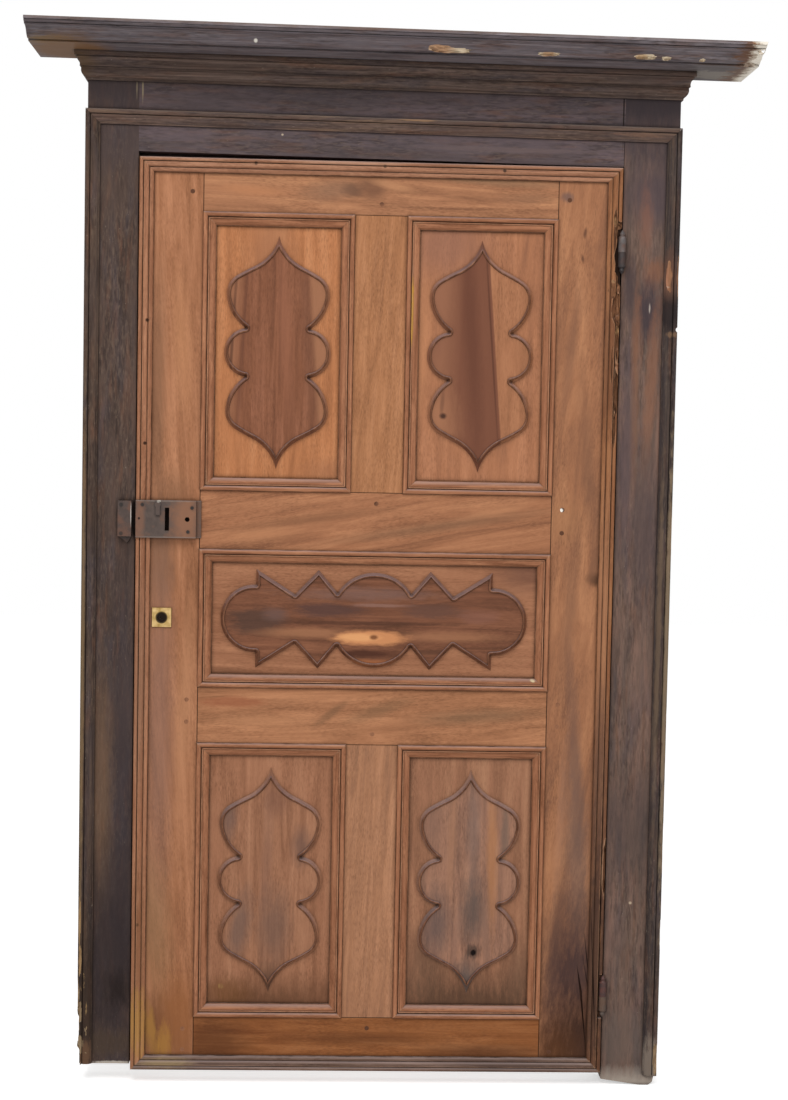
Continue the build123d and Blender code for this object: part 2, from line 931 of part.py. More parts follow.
break_shares = (
    (0, 0.42),
    (-0.55, 0.36),
    (-0.7, 0.1),
    (-1, -0.06),
    (-0.8, -0.2),
    (-0.85, -0.34),
    (-0.35, -0.42),
    (-0.4, -0.52),
    (0, -0.58),
)
with BuildPart() as edge_moulding_right:
    add(edge_strips[3])
    for height in hinge_heights.values():
        front_box(
            hinge_x - barrel_radius - barrel_room,
            leaf_right + overrun,
            height - hinge_half - barrel_room,
            height + hinge_half + barrel_room,
            leaf_face,
            moulding_front + overrun,
            mode=Mode.SUBTRACT,
        )
    with BuildSketch(Plane.XZ.offset(leaf_face)) as broken_wood:
        with BuildLine():
            Polyline(
                *[
                    (leaf_right + u * break_depth, hinge_heights["upper"] + v * break_height)
                    for u, v in break_shares
                ],
                close=True,
            )
        make_face()
    extrude(broken_wood.sketch, amount=edge_moulding_height + overrun, mode=Mode.SUBTRACT)
edge_moulding_right.part.label = "edge_moulding_right"
export_step(edge_moulding_right.part, "parts/edge_moulding_right.step")

# Lock case: folded and riveted iron, open at the back, with a nailing flange
with BuildPart() as lock_case:
    front_box(lock_left, lock_right, lock_bottom, lock_top, leaf_face, lock_front)
    front_box(
        lock_left + lock_wall,
        lock_right - lock_wall,
        lock_bottom + lock_wall,
        lock_top - lock_wall,
        leaf_face,
        lock_front - lock_wall,
        mode=Mode.SUBTRACT,
    )
    front_box(lock_right, lock_right + lock_flange, lock_bottom, lock_top, leaf_face, leaf_face + lock_wall)
    front_box(
        lock_left + lock_wall,
        lock_left + bolt_length,
        bolt_bottom - slide_clearance - bolt_guide_height,
        bolt_bottom - slide_clearance,
        leaf_face,
        lock_front - lock_wall,
    )
    front_box(
        lock_left - overrun,
        lock_left + lock_wall,
        bolt_bottom - slide_clearance,
        bolt_top + slide_clearance,
        leaf_face,
        lock_front - lock_wall,
        mode=Mode.SUBTRACT,
    )
    front_box(
        keyhole_x - keyhole_width / 2,
        keyhole_x + keyhole_width / 2,
        lock_middle - keyhole_height / 2,
        lock_middle + keyhole_height / 2,
        lock_front - lock_wall,
        lock_front,
        mode=Mode.SUBTRACT,
    )
    with Locations(Plane.XZ.offset(lock_front) * Pos(lock_left + spindle_inset, lock_middle)):
        Hole(spindle_radius, depth=lock_wall)
    rivet_u, rivet_v = lock_hole_share
    rivet_place = Pos(lock_left + rivet_u * lock_width, lock_bottom + rivet_v * lock_height)
    with Locations(Plane.XZ.offset(lock_front) * rivet_place):
        Hole(rivet_hole_radius, depth=lock_wall)
    bore_nails(lock_nail_places, lock_front)
lock_case.part.label = "lock_case"
export_step(lock_case.part, "parts/lock_case.step")

lock_nails = nails(lock_nail_places, lock_front)
lock_nails.label = "lock_nails"
export_step(lock_nails, "parts/lock_nails.step")

# Bolt: slides out of the case into the keeper, pushed by the key at its notched tail
with BuildPart() as lock_bolt:
    front_box(
        lock_left,
        lock_left + bolt_length,
        bolt_bottom,
        bolt_top,
        leaf_face + slide_clearance,
        lock_front - lock_wall - slide_clearance,
    )
    front_box(
        lock_left + bolt_length - talon_width,
        lock_left + bolt_length,
        lock_middle - talon_height / 2,
        lock_middle + talon_height / 2,
        leaf_face,
        lock_front,
        mode=Mode.SUBTRACT,
    )
lock_bolt.part.label = "lock_bolt"
export_step(lock_bolt.part, "parts/lock_bolt.step")

# Bolt spring: an arched strip between the case's top wall and the bolt
spring_left = lock_left + spring_inset
spring_right = spring_left + spring_span
spring_top = lock_top - lock_wall
spring_foot = 2 * spring_thickness
spring_belly = bolt_top + slide_clearance
spring_back = leaf_face + (lock_depth - lock_wall - spring_width) / 2
with BuildPart() as bolt_spring:
    with BuildSketch(Plane.XZ.offset(spring_back)):
        with BuildLine():
            ThreePointArc(
                (spring_left, spring_top),
                ((spring_left + spring_right) / 2, spring_belly),
                (spring_right, spring_top),
            )
            Line((spring_right, spring_top), (spring_right - spring_foot, spring_top))
            ThreePointArc(
                (spring_right - spring_foot, spring_top),
                ((spring_left + spring_right) / 2, spring_belly + spring_thickness),
                (spring_left + spring_foot, spring_top),
            )
            Line((spring_left + spring_foot, spring_top), (spring_left, spring_top))
        make_face()
    extrude(amount=spring_width)
bolt_spring.part.label = "bolt_spring"
export_step(bolt_spring.part, "parts/bolt_spring.step")

# Spring stud: a small forged tab with a round head, riveted to the case's front
with BuildPart() as spring_stud:
    stud_x = lock_left + stud_inset
    stud_top = lock_top - stud_drop
    with BuildSketch(Plane.XZ.offset(lock_front)):
        with Locations((stud_x, stud_top - stud_height / 2)):
            Rectangle(stud_width, stud_height)
        with Locations((stud_x, stud_top)):
            RegularPolygon(stud_width * stud_head_share, 12)
    extrude(amount=stud_rise)
spring_stud.part.label = "spring_stud"
export_step(spring_stud.part, "parts/spring_stud.step")

# Keeper: a folded iron box on the left jamb, open towards the bolt, with a pointed tail
with BuildPart() as lock_keeper:
    front_box(keeper_left, keeper_right, keeper_bottom, keeper_top, jamb_depth, keeper_front)
    front_box(
        keeper_left + keeper_wall,
        keeper_right + overrun,
        keeper_bottom + keeper_wall,
        keeper_top - keeper_wall,
        jamb_depth,
        keeper_front - keeper_wall,
        mode=Mode.SUBTRACT,
    )
    with BuildSketch(Plane.XZ.offset(jamb_depth)):
        with BuildLine():
            Polyline(
                (keeper_left, keeper_bottom),
                (keeper_right, keeper_bottom),
                (keeper_right - keeper_tail_share * keeper_width, keeper_bottom - keeper_tail),
                close=True,
            )
        make_face()
    extrude(amount=keeper_wall)
    bore_nails(keeper_nail_places, keeper_front)
lock_keeper.part.label = "lock_keeper"
export_step(lock_keeper.part, "parts/lock_keeper.step")

keeper_nails = nails(keeper_nail_places, keeper_front)
keeper_nails.label = "keeper_nails"
export_step(keeper_nails, "parts/keeper_nails.step")

# Escutcheon: a square brass plate, with the lock cylinder set back in its round hole
escutcheon_front = leaf_face + escutcheon_thickness
with BuildPart() as escutcheon:
    front_box(
        escutcheon_x - escutcheon_size / 2,
        escutcheon_x + escutcheon_size / 2,
        escutcheon_z - escutcheon_size / 2,
        escutcheon_z + escutcheon_size / 2,
        leaf_face,
        escutcheon_front,
    )
    chamfer(escutcheon.faces().sort_by(Axis.Y)[0].edges(), length=escutcheon_thickness / 3)
    with Locations(Plane.XZ.offset(escutcheon_front) * Pos(escutcheon_x, escutcheon_z)):
        Hole(cylinder_radius, depth=escutcheon_thickness)
escutcheon.part.label = "escutcheon"
export_step(escutcheon.part, "parts/escutcheon.step")

cylinder_front = escutcheon_front - cylinder_setback
with BuildPart() as lock_cylinder:
    with BuildSketch(Plane.XZ.offset(cylinder_front)):
        with Locations((escutcheon_x, escutcheon_z)):
            Circle(cylinder_radius - cylinder_clearance)
    extrude(amount=-cylinder_length)
    with Locations(Plane.XZ.offset(cylinder_front) * Pos(escutcheon_x, escutcheon_z)):
        Hole(cylinder_core_radius, depth=cylinder_core_recess)
lock_cylinder.part.label = "lock_cylinder"
export_step(lock_cylinder.part, "parts/lock_cylinder.step")

# Hinges: turned knuckles with vase tips, each on a plate let into the timber's edge
for name, height in hinge_heights.items():
    with BuildPart() as jamb_half:
        with BuildSketch(Plane.XZ.offset(-hinge_y)):
            with BuildLine():
                Polyline(
                    (hinge_x, height),
                    (hinge_x + barrel_radius, height),
                    (hinge_x + barrel_radius, height - knuckle_length),
                    (hinge_x + tip_neck_radius, height - knuckle_length - tip_length / 4),
                    (hinge_x + tip_ball_radius, height - knuckle_length - tip_length / 2),
                    (hinge_x, height - knuckle_length - tip_length),
                    close=True,
                )
            make_face()
        revolve(axis=Axis((hinge_x, hinge_y, 0), (0, 0, 1)))
        front_box(
            jamb_inner_right,
            jamb_inner_right + hinge_plate_thickness,
            height - knuckle_length,
            height,
            plate_back,
            -hinge_y,
        )
        with Locations((hinge_x, hinge_y, height)):
            Hole(pin_radius + pin_clearance, depth=pin_reach)
    jamb_half.part.label = f"{name}_hinge_jamb_half"
    export_step(jamb_half.part, f"parts/{name}_hinge_jamb_half.step")

    seat = height + knuckle_gap
    with BuildPart() as leaf_half:
        with BuildSketch(Plane.XZ.offset(-hinge_y)):
            with BuildLine():
                Polyline(
                    (hinge_x, seat),
                    (hinge_x + barrel_radius, seat),
                    (hinge_x + barrel_radius, seat + knuckle_length),
                    (hinge_x + tip_neck_radius, seat + knuckle_length + tip_length / 4),
                    (hinge_x + tip_ball_radius, seat + knuckle_length + tip_length / 2),
                    (hinge_x, seat + knuckle_length + tip_length),
                    close=True,
                )
            make_face()
        revolve(axis=Axis((hinge_x, hinge_y, 0), (0, 0, 1)))
        front_box(
            leaf_right - hinge_plate_thickness,
            leaf_right,
            seat,
            seat + knuckle_length,
            plate_back,
            -hinge_y,
        )
        with BuildSketch(Plane.XY.offset(seat)):
            with Locations((hinge_x, hinge_y)):
                Circle(pin_radius + pin_clearance)
        extrude(amount=pin_reach, mode=Mode.SUBTRACT)
    leaf_half.part.label = f"{name}_hinge_leaf_half"
    export_step(leaf_half.part, f"parts/{name}_hinge_leaf_half.step")

    with BuildPart() as hinge_pin:
        with BuildSketch(Plane.XY.offset(height - pin_reach)):
            with Locations((hinge_x, hinge_y)):
                Circle(pin_radius)
        extrude(amount=2 * pin_reach)
    hinge_pin.part.label = f"{name}_hinge_pin"
    export_step(hinge_pin.part, f"parts/{name}_hinge_pin.step")
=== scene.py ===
import math

import bpy
from mathutils import Matrix, Vector


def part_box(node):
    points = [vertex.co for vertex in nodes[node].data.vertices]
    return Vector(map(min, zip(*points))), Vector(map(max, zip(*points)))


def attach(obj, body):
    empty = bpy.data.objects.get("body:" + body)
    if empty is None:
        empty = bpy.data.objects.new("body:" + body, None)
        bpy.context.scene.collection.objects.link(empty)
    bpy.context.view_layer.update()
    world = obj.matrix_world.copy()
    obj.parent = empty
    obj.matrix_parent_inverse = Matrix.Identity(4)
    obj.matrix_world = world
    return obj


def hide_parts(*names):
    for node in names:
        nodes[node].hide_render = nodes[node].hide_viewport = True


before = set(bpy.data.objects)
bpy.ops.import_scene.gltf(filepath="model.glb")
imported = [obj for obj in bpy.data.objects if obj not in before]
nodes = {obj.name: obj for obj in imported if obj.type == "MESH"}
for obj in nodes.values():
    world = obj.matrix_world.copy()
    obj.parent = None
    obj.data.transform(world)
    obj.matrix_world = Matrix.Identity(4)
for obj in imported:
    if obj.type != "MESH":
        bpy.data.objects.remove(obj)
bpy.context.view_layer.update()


# Jambs and head board: the fixed frame, sawn softwood boards rebated for the leaf.
# They were stained and painted near black, and hands and weather have rubbed the
# paint brown. The head board is tenoned between the two jambs.
mm = 0.001


def linear(hex_colour):
    shares = [int(hex_colour[i : i + 2], 16) / 255 for i in (1, 3, 5)]
    return (*[s / 12.92 if s <= 0.04045 else ((s + 0.055) / 1.055) ** 2.4 for s in shares], 1.0)


def put(tree, kind, inputs=None, **settings):
    """Adds one node with its settings; an input is a value or a socket to link from."""
    node = tree.nodes.new(kind)
    for name, value in settings.items():
        setattr(node, name, value)
    for socket, value in (inputs or {}).items():
        if isinstance(value, bpy.types.NodeSocket):
            tree.links.new(value, node.inputs[socket])
        else:
            node.inputs[socket].default_value = value
    return node


def tinted(tree, under, share, shade):
    """The colour under it, covered with a shade by that share."""
    both = {0: share.outputs[0], 6: under, 7: linear(shade)}
    return put(tree, "ShaderNodeMix", both, data_type="RGBA").outputs[2]


def stained(tree, place, edge, colour, marks):
    """Lays stains, knots and worn places on a colour, and with them a few painted highlights and
    shadows. A mark is (x, z, half width, half height, lean, colour, strength, soft edge, ragged edge),
    in millimetres and degrees, and then its y and half depth if it doesn't go right through."""
    right_through = (0, 50000)
    for x, z, wide, tall, tilt, shade, strength, soft, ragged, *depth in marks:
        y, deep = depth or right_through
        spot = put(
            tree,
            "ShaderNodeMapping",
            {
                "Vector": place,
                "Location": (x * mm, y * mm, z * mm),
                "Rotation": (0, math.radians(tilt), 0),
                "Scale": (wide * mm, deep * mm, tall * mm),
            },
            vector_type="TEXTURE",
        )
        reach = put(tree, "ShaderNodeVectorMath", {0: spot.outputs[0]}, operation="LENGTH")
        uneven = put(
            tree,
            "ShaderNodeMath",
            {0: edge.outputs[0], 1: ragged, 2: reach.outputs["Value"]},
            operation="MULTIPLY_ADD",
        )
        rim = 1 + ragged / 2
        share = put(
            tree,
            "ShaderNodeMapRange",
            {"Value": uneven.outputs[0], "From Min": rim + soft, "From Max": rim - soft, "To Max": strength},
        )
        colour = tinted(tree, colour, share, shade)
    return colour


# width, length, strength, from, to and colour of each kind of small mark in the wood: growth
# rings seen edge on, cloudy patches, and pores, drawn ten times wider than real so that they show.
# A colour of 0 or 2 is the board's own dark or pale one.
walnut_layers = (
    (6, 150, 0.3, 0.45, 0.65, 0),
    (14, 45, 0.3, 0.46, 0.68, 0),
    (10, 60, 0.3, 0.48, 0.68, 2),
    (2.4, 9, 0.3, 0.48, 0.7, 2),
    (2, 11, 0.34, 0.46, 0.68, "#4a2d1f"),
)


def new_finish(name):
    """A new material, its node tree and shader, and the place on the piece."""
    made = bpy.data.materials.new(name)
    made.use_nodes = True
    tree = made.node_tree
    place = put(tree, "ShaderNodeTexCoord").outputs["Object"]
    return made, tree, tree.nodes["Principled BSDF"], place


def aged_timber(
    name,
    tones,
    grain="up",
    shift=(0, 0, 0),
    lean=0,
    figure=(38, 420),
    layers=walnut_layers,
    dust_and_sheen=("#a3938c", 0.3),
    crease_dirt_and_shade=("#2a1a12", 0.75, 7),
    marks=(),
    quirks=(),
    arris_wear_and_highlight=None,
    roughness=0.55,
    gloss=0.06,
):
    """Old board whose finish is worn by rubbing. tones are its dark, middle and pale colours. Grain runs
    up, across, or along each strip of a mitred ring, given as the ring's two corners; quirks are
    (distance from the ring's edge, half width) of its grooves, darkened partly with dirt and partly as
    painted shade, and the arris wear is the colour, strength and width of its pale arrises, partly
    worn and partly a painted highlight. What faces up is lightened, partly with dust and partly as a
    painted sheen, and corners are darkened, partly with dirt and partly as painted shade. Sizes are in
    millimetres, those of the grain being its width and length."""
    tone_places = (0.28, 0.5, 0.72)
    patch_size = (60, 190)
    fray_size = (9, 34)
    pore_depth = 0.4
    made, tree, shader, place = new_finish(name)
    turn = (0, math.radians(lean), 0)
    off = [s * mm for s in shift]
    ringed = grain not in ("up", "across")
    if ringed:
        low, high = grain
        middle, half = (low + high) / 2, (high - low) / 2
        spot = put(
            tree, "ShaderNodeMapping", {"Vector": place, "Location": middle}, vector_type="TEXTURE"
        )
        spot = put(tree, "ShaderNodeVectorMath", {0: spot.outputs[0]}, operation="ABSOLUTE")
        spot = put(tree, "ShaderNodeSeparateXYZ", {0: spot.outputs[0]})
        inward = [
            put(tree, "ShaderNodeMath", {0: size, 1: spot.outputs[way]}, operation="SUBTRACT").outputs[0]
            for size, way in ((half.x, 0), (half.z, 2))
        ]
        level_strip = put(
            tree, "ShaderNodeMath", {0: inward[0], 1: inward[1]}, operation="GREATER_THAN"
        )
        from_edge = put(tree, "ShaderNodeMath", {0: inward[0], 1: inward[1]}, operation="MINIMUM")

    def laid(across, along):
        """The place on the board, counted in widths and lengths of the grain."""
        ways = []
        for size in ((across, across, along), (along, across, across)):
            laid_so = {"Vector": place, "Location": off, "Rotation": turn}
            laid_so["Scale"] = [s * mm for s in size]
            ways.append(put(tree, "ShaderNodeMapping", laid_so, vector_type="TEXTURE").outputs[0])
        if not ringed:
            return ways[("up", "across").index(grain)]
        chosen = {0: level_strip.outputs[0], 4: ways[0], 5: ways[1]}
        return put(tree, "ShaderNodeMix", chosen, data_type="VECTOR").outputs[1]

    # broad bands of the board's figure
    bands = put(
        tree,
        "ShaderNodeTexNoise",
        {"Vector": laid(*figure), "Scale": 1, "Detail": 6, "Roughness": 0.62, "Distortion": 0.9},
    )
    ramp = put(tree, "ShaderNodeValToRGB", {0: bands.outputs[0]})
    stops = ramp.color_ramp.elements
    stops.new(tone_places[1])
    for stop, tone_place, tone in zip(stops, tone_places, tones):
        stop.position = tone_place
        stop.color = linear(tone)
    colour = ramp.outputs[0]

    # the small marks come and go over the board
    patchy = put(
        tree, "ShaderNodeTexNoise", {"Vector": laid(*patch_size), "Scale": 1, "Detail": 2}
    )
    faint = 0.35
    for across, along, strength, start, full, shade in layers:
        lines = put(
            tree,
            "ShaderNodeTexNoise",
            {"Vector": laid(across, along), "Scale": 1, "Detail": 3, "Distortion": 0.3},
        )
        amount = put(
            tree,
            "ShaderNodeMapRange",
            {
                "Value": patchy.outputs[0],
                "From Min": 0.38,
                "From Max": 0.6,
                "To Min": strength * faint,
                "To Max": strength,
            },
        )
        share = put(
            tree,
            "ShaderNodeMapRange",
            {"Value": lines.outputs[0], "From Min": start, "From Max": full, "To Max": amount.outputs[0]},
        )
        colour = tinted(tree, colour, share, tones[shade] if shade in (0, 2) else shade)

    # stains, knots, worn places and a few painted shadows and painted light, whose edges fray along the
    # grain
    edge = put(
        tree,
        "ShaderNodeTexNoise",
        {"Vector": laid(*fray_size), "Scale": 1, "Detail": 6, "Roughness": 0.72},
    )
    colour = stained(tree, place, edge, colour, marks)

    # the arrises are pale, here more and there less: partly worn by hands and cloths, partly a painted
    # highlight
    if arris_wear_and_highlight:
        pale, most, width = arris_wear_and_highlight
        arrises = put(
            tree, "ShaderNodeAmbientOcclusion", {"Distance": width * mm}, samples=4, inside=True
        )
        least = 0.15 * most
        worn = put(
            tree,
            "ShaderNodeMapRange",
            {"Value": edge.outputs[0], "From Min": 0.4, "From Max": 0.58, "To Min": least, "To Max": most},
        )
        share = put(
            tree,
            "ShaderNodeMapRange",
            {"Value": arrises.outputs["AO"], "From Min": 0.85, "From Max": 0.5, "To Max": worn.outputs[0]},
        )
        colour = tinted(tree, colour, share, pale)

    # what faces up is lightened, partly by dust and partly as a painted sheen of the light from above, and
    # the grooves and corners are darkened, partly by old polish and dirt and partly as painted shade
    dust_and_sheen_colour, dust_and_sheen_share = dust_and_sheen
    dirt_and_shade_colour, dirt_and_shade_share, dirt_and_shade_reach = crease_dirt_and_shade
    facing = put(
        tree, "ShaderNodeSeparateXYZ", {0: put(tree, "ShaderNodeNewGeometry").outputs["Normal"]}
    )
    share = put(
        tree,
        "ShaderNodeMapRange",
        {"Value": facing.outputs[2], "From Min": 0.15, "From Max": 0.8, "To Max": dust_and_sheen_share},
    )
    colour = tinted(tree, colour, share, dust_and_sheen_colour)
    # dark lines along the grooves of the profile: partly dirt, partly painted shade
    for distance, half_width in quirks:
        line = put(
            tree,
            "ShaderNodeMath",
            {0: from_edge.outputs[0], 1: distance * mm, 2: half_width * mm},
            operation="COMPARE",
        )
        share = put(
            tree,
            "ShaderNodeMapRange",
            {"Value": edge.outputs[0], "From Min": 0.35, "From Max": 0.65, "To Min": 0.1, "To Max": 0.85},
        )
        share = put(
            tree, "ShaderNodeMath", {0: line.outputs[0], 1: share.outputs[0]}, operation="MULTIPLY"
        )
        colour = tinted(tree, colour, share, dirt_and_shade_colour)
    # corners and creases are darkened by ambient occlusion: partly dirt and old polish, partly painted shade
    corners = put(tree, "ShaderNodeAmbientOcclusion", {"Distance": dirt_and_shade_reach * mm}, samples=4)
    share = put(
        tree,
        "ShaderNodeMapRange",
        {
            "Value": corners.outputs["AO"],
            "From Min": 0.42,
            "From Max": 0.94,
            "To Min": dirt_and_shade_share,
            "To Max": 0,
        },
    )
    colour = tinted(tree, colour, share, dirt_and_shade_colour)
    tree.links.new(colour, shader.inputs["Base Color"])

    bump = put(
        tree,
        "ShaderNodeBump",
        {"Strength": 0.25, "Distance": pore_depth * mm, "Height": lines.outputs[0]},
    )
    tree.links.new(bump.outputs[0], shader.inputs["Normal"])
    shader.inputs["Roughness"].default_value = roughness
    shader.inputs["Specular IOR Level"].default_value = gloss
    return made


def dress(node_name, finish):
    """Gives a CAD node its finish."""
    node = nodes[node_name]
    node.data.materials.clear()
    node.data.materials.append(finish)


# worn black paint on softwood: dull, cold grey where it is whole, brown where it is rubbed
# thin, with pale specks where it has chipped
paint_layers = (
    (12, 90, 0.5, 0.5, 0.68, "#6e4d3c"),
    (26, 170, 0.6, 0.48, 0.66, "#4a4346"),
    (4, 26, 0.5, 0.44, 0.66, "#2b2220"),
    (3, 14, 0.25, 0.5, 0.7, "#84705f"),
    (2.6, 6, 0.4, 0.7, 0.74, "#b5a797"),
)
# the frame's tops are lightened, partly dust and partly a painted sheen, and its corners darkened, partly
# dirt and partly painted shade
paint_dust_and_sheen = ("#8d8078", 0.25)
paint_dirt_and_shade = ("#120c0a", 0.8, 8)


def worn_paint(name, tones, grain, shift, figure, marks, dust_and_sheen=paint_dust_and_sheen, roughness=0.6):
    """The old paint on one of the frame's timbers."""
    return aged_timber(
        "worn paint, " + name,
        tones,
        grain=grain,
        shift=shift,
        figure=figure,
        layers=paint_layers,
        dust_and_sheen=dust_and_sheen,
        crease_dirt_and_shade=paint_dirt_and_shade,
        marks=marks,
        roughness=roughness,
    )


for board, tones, grain, shift, figure, marks in (
    ("left_jamb", ("#40332d", "#51423b", "#604c42"), "up", (310, 0, 120), (45, 380), (
        (-1100, 1990, 120, 70, 0, "#4b4040", 0.5, 0.4, 1.2),
        (-1100, 2090, 90, 46, 0, "#443b3c", 0.8, 0.4, 0.8),
        (-1060, 2088, 1.4, 22, 0, "#93836a", 0.6, 0.4, 1.6),
        (-1075, 600, 26, 420, 0, "#3a3235", 0.65, 0.6, 0.8),
        (-1120, 640, 22, 200, 0, "#6e5440", 0.5, 0.5, 1.6),
        (-1100, 250, 60, 200, 0, "#2f2728", 0.75, 0.5, 1.2),
        (-1080, 200, 26, 30, 0, "#1d1613", 0.6, 0.7, 2.4),
        (-1100, 110, 60, 130, 0, "#a39480", 0.7, 0.08, 3.4, -86, 10),
        # near-black strip by the keeper: painted shade in the gap between the leaf and the frame at the lock
        (-1057, 1197, 5, 42, 0, "#0d0806", 0.95, 0.2, 0.4),
        (-1100, 85, 70, 26, 0, "#4a3c31", 0.6, 0.4, 2.6),
        (-1090, 41, 44, 3.5, 0, "#b5aca0", 0.85, 0.3, 1.8),
    )),
    ("right_jamb", ("#54463f", "#6c574d", "#836558"), "up", (-220, 0, 60), (30, 300), (
        (10, 2030, 120, 80, 0, "#463d40", 0.7, 0.3, 1.0),
        (10, 2085, 120, 46, 0, "#3c3538", 0.8, 0.4, 0.8),
        (25, 1890, 70, 60, 0, "#4c4145", 0.75, 0.5, 0.8),
        (0, 1835, 12, 60, 0, "#7b5546", 0.6, 0.5, 2.6),
        (22, 1730, 22, 26, 15, "#7d543f", 0.65, 0.4, 2.8),
        (8, 1650, 26, 56, 0, "#3f363a", 0.85, 0.5, 1.8),
        (-30, 1690, 12, 60, 0, "#45393a", 0.7, 0.5, 1.8),
        (-14, 1590, 10, 80, 0, "#7a5544", 0.6, 0.5, 2.6),
        (20, 1500, 12, 150, 3, "#805945", 0.65, 0.5, 2.6),
        (-14, 1450, 8, 170, 0, "#795643", 0.6, 0.5, 2.6),
        (-30, 1330, 14, 200, 0, "#54474a", 0.6, 0.5, 2.0),
        (14, 1180, 26, 150, 0, "#4f4242", 0.6, 0.5, 2.0),
        (0, 420, 70, 440, 0, "#aa9d90", 0.6, 0.08, 3.4, -86, 10),
        (12, 1655, 1.6, 10, 0, "#a89c92", 0.8, 0.3, 1.2),
        (44, 1560, 3, 60, 0, "#9a8a78", 0.7, 0.3, 2.4),
        (0, 560, 60, 120, 0, "#433a38", 0.55, 0.6, 1.6),
        (5, 395, 3, 3, 0, "#b6a28a", 0.85, 0.3, 0.8),
        (-10, 90, 60, 60, 0, "#5f544d", 0.5, 0.5, 2.4),
        (0, 2, 140, 26, 0, "#a3978b", 0.85, 0.7, 1.4),
    )),
    ("head_board", ("#4b403e", "#5c5052", "#6b5b5e"), "across", (90, 0, 300), (40, 600), (
        (-600, 2080, 420, 30, 0, "#453c3d", 0.5, 0.5, 0.8),
        (-1048, 2084, 1.6, 26, 0, "#9d8d70", 0.65, 0.4, 1.6),
        (-53, 2080, 1.5, 90, 0, "#1d1614", 0.9, 0.3, 0.2),
        (-49, 1980, 1.5, 45, 0, "#1d1614", 0.9, 0.3, 0.2),
        (-760, 1995, 2, 2, 0, "#b9a890", 0.9, 0.3, 0.6),
        (-300, 1975, 160, 5, 0.5, "#6a5a58", 0.6, 0.4, 1.6),
    )),
):
    finish = worn_paint(board.replace("_", " "), tones, grain, shift, figure, marks)
    dress(board, finish)


# Architrave: three moulded strips nailed on the face of the frame round the doorway
# and mitred at the top corners. The upright ones are knocked about at their outer edges,
# where the softwood shows.
# the architrave's ledges are lightened, partly dust and partly a painted sheen
ledge_dust_and_sheen = ("#9c8f86", 0.35)
for strip, tones, grain, shift, figure, marks in (
    ("architrave_left", ("#332823", "#483a33", "#604d40"), "up", (40, 0, 700), (14, 240), (
        (-1152, 180, 30, 170, 0, "#2a211c", 0.7, 0.5, 1.8),
        (-1150, 190, 14, 150, 0, "#8f7350", 0.8, 0.1, 3.2, -88, 8),
        (-1148, 110, 14, 80, 0, "#cabfab", 0.85, 0.08, 3.4, -91, 8),
        (-1148, 60, 14, 30, 0, "#6b4f3b", 0.7, 0.3, 2.6),
        (-1160, 900, 4, 500, 0, "#80694c", 0.6, 0.4, 2.4),
        (-1118, 1200, 3, 300, 0, "#1b1412", 0.6, 0.4, 0.8),
    )),
    ("architrave_top", ("#42352f", "#5f4d46", "#7d6554"), "across", (500, 0, 80), (8, 260), (
        (-480, 2030, 40, 2, 0.5, "#a07a56", 0.8, 0.3, 1.8),
        (-690, 2034, 60, 1.6, 0.5, "#8f735a", 0.7, 0.3, 1.8),
        (-880, 2037, 90, 2, 0.5, "#8a6548", 0.7, 0.3, 1.8),
        (-20, 2012, 50, 4, 0.5, "#80614f", 0.5, 0.3, 3.6),
        (-560, 2022, 420, 1.2, 0.5, "#7b6152", 0.5, 0.4, 1.8),
    )),
    ("architrave_right", ("#2b2422", "#3e3533", "#584a40"), "up", (-340, 0, 20), (12, 260), (
        (50, 1718, 14, 52, 0, "#6b4a3a", 0.6, 0.4, 2.0),
        (50, 1645, 24, 34, 0, "#252021", 0.8, 0.4, 1.0),
        (60, 1601, 12, 6, 0, "#80634b", 0.6, 0.3, 3.2),
        (66, 900, 6, 420, 0, "#8f7b62", 0.6, 0.3, 2.8),
        (48, 980, 5, 320, 0, "#75604c", 0.5, 0.4, 2.4),
        (60, 40, 22, 60, 0, "#8a7c6f", 0.6, 0.3, 2.6),
    )),
):
    finish = worn_paint(strip.replace("_", " "), tones, grain, shift, figure, marks, ledge_dust_and_sheen)
    dress(strip, finish)


def bare_softwood(name, grain, marks):
    """Softwood where the paint is gone: pale, dry and fibrous."""
    return aged_timber(
        name,
        ("#93704c", "#b89468", "#d6c3a2"),
        grain=grain,
        figure=(3, 60),
        dust_and_sheen=("#cfc6b8", 0.4),
        crease_dirt_and_shade=("#5a4632", 0.3, 4),
        marks=marks,
    )


same_point = 0.01


def worked_copy(node_name, piece_name):
    """A clean copy of a CAD node, open for work in edit mode with every face selected."""
    same_plane = math.radians(0.5)
    piece = bpy.data.objects.new(piece_name, nodes[node_name].data.copy())
    bpy.context.scene.collection.objects.link(piece)
    bpy.ops.object.select_all(action="DESELECT")
    piece.select_set(True)
    bpy.context.view_layer.objects.active = piece
    bpy.ops.object.mode_set(mode="EDIT")
    bpy.ops.mesh.select_mode(type="FACE")
    bpy.ops.mesh.select_all(action="SELECT")
    bpy.ops.mesh.remove_doubles(threshold=same_point * mm)
    bpy.ops.mesh.dissolve_limited(angle_limit=same_plane)
    return piece


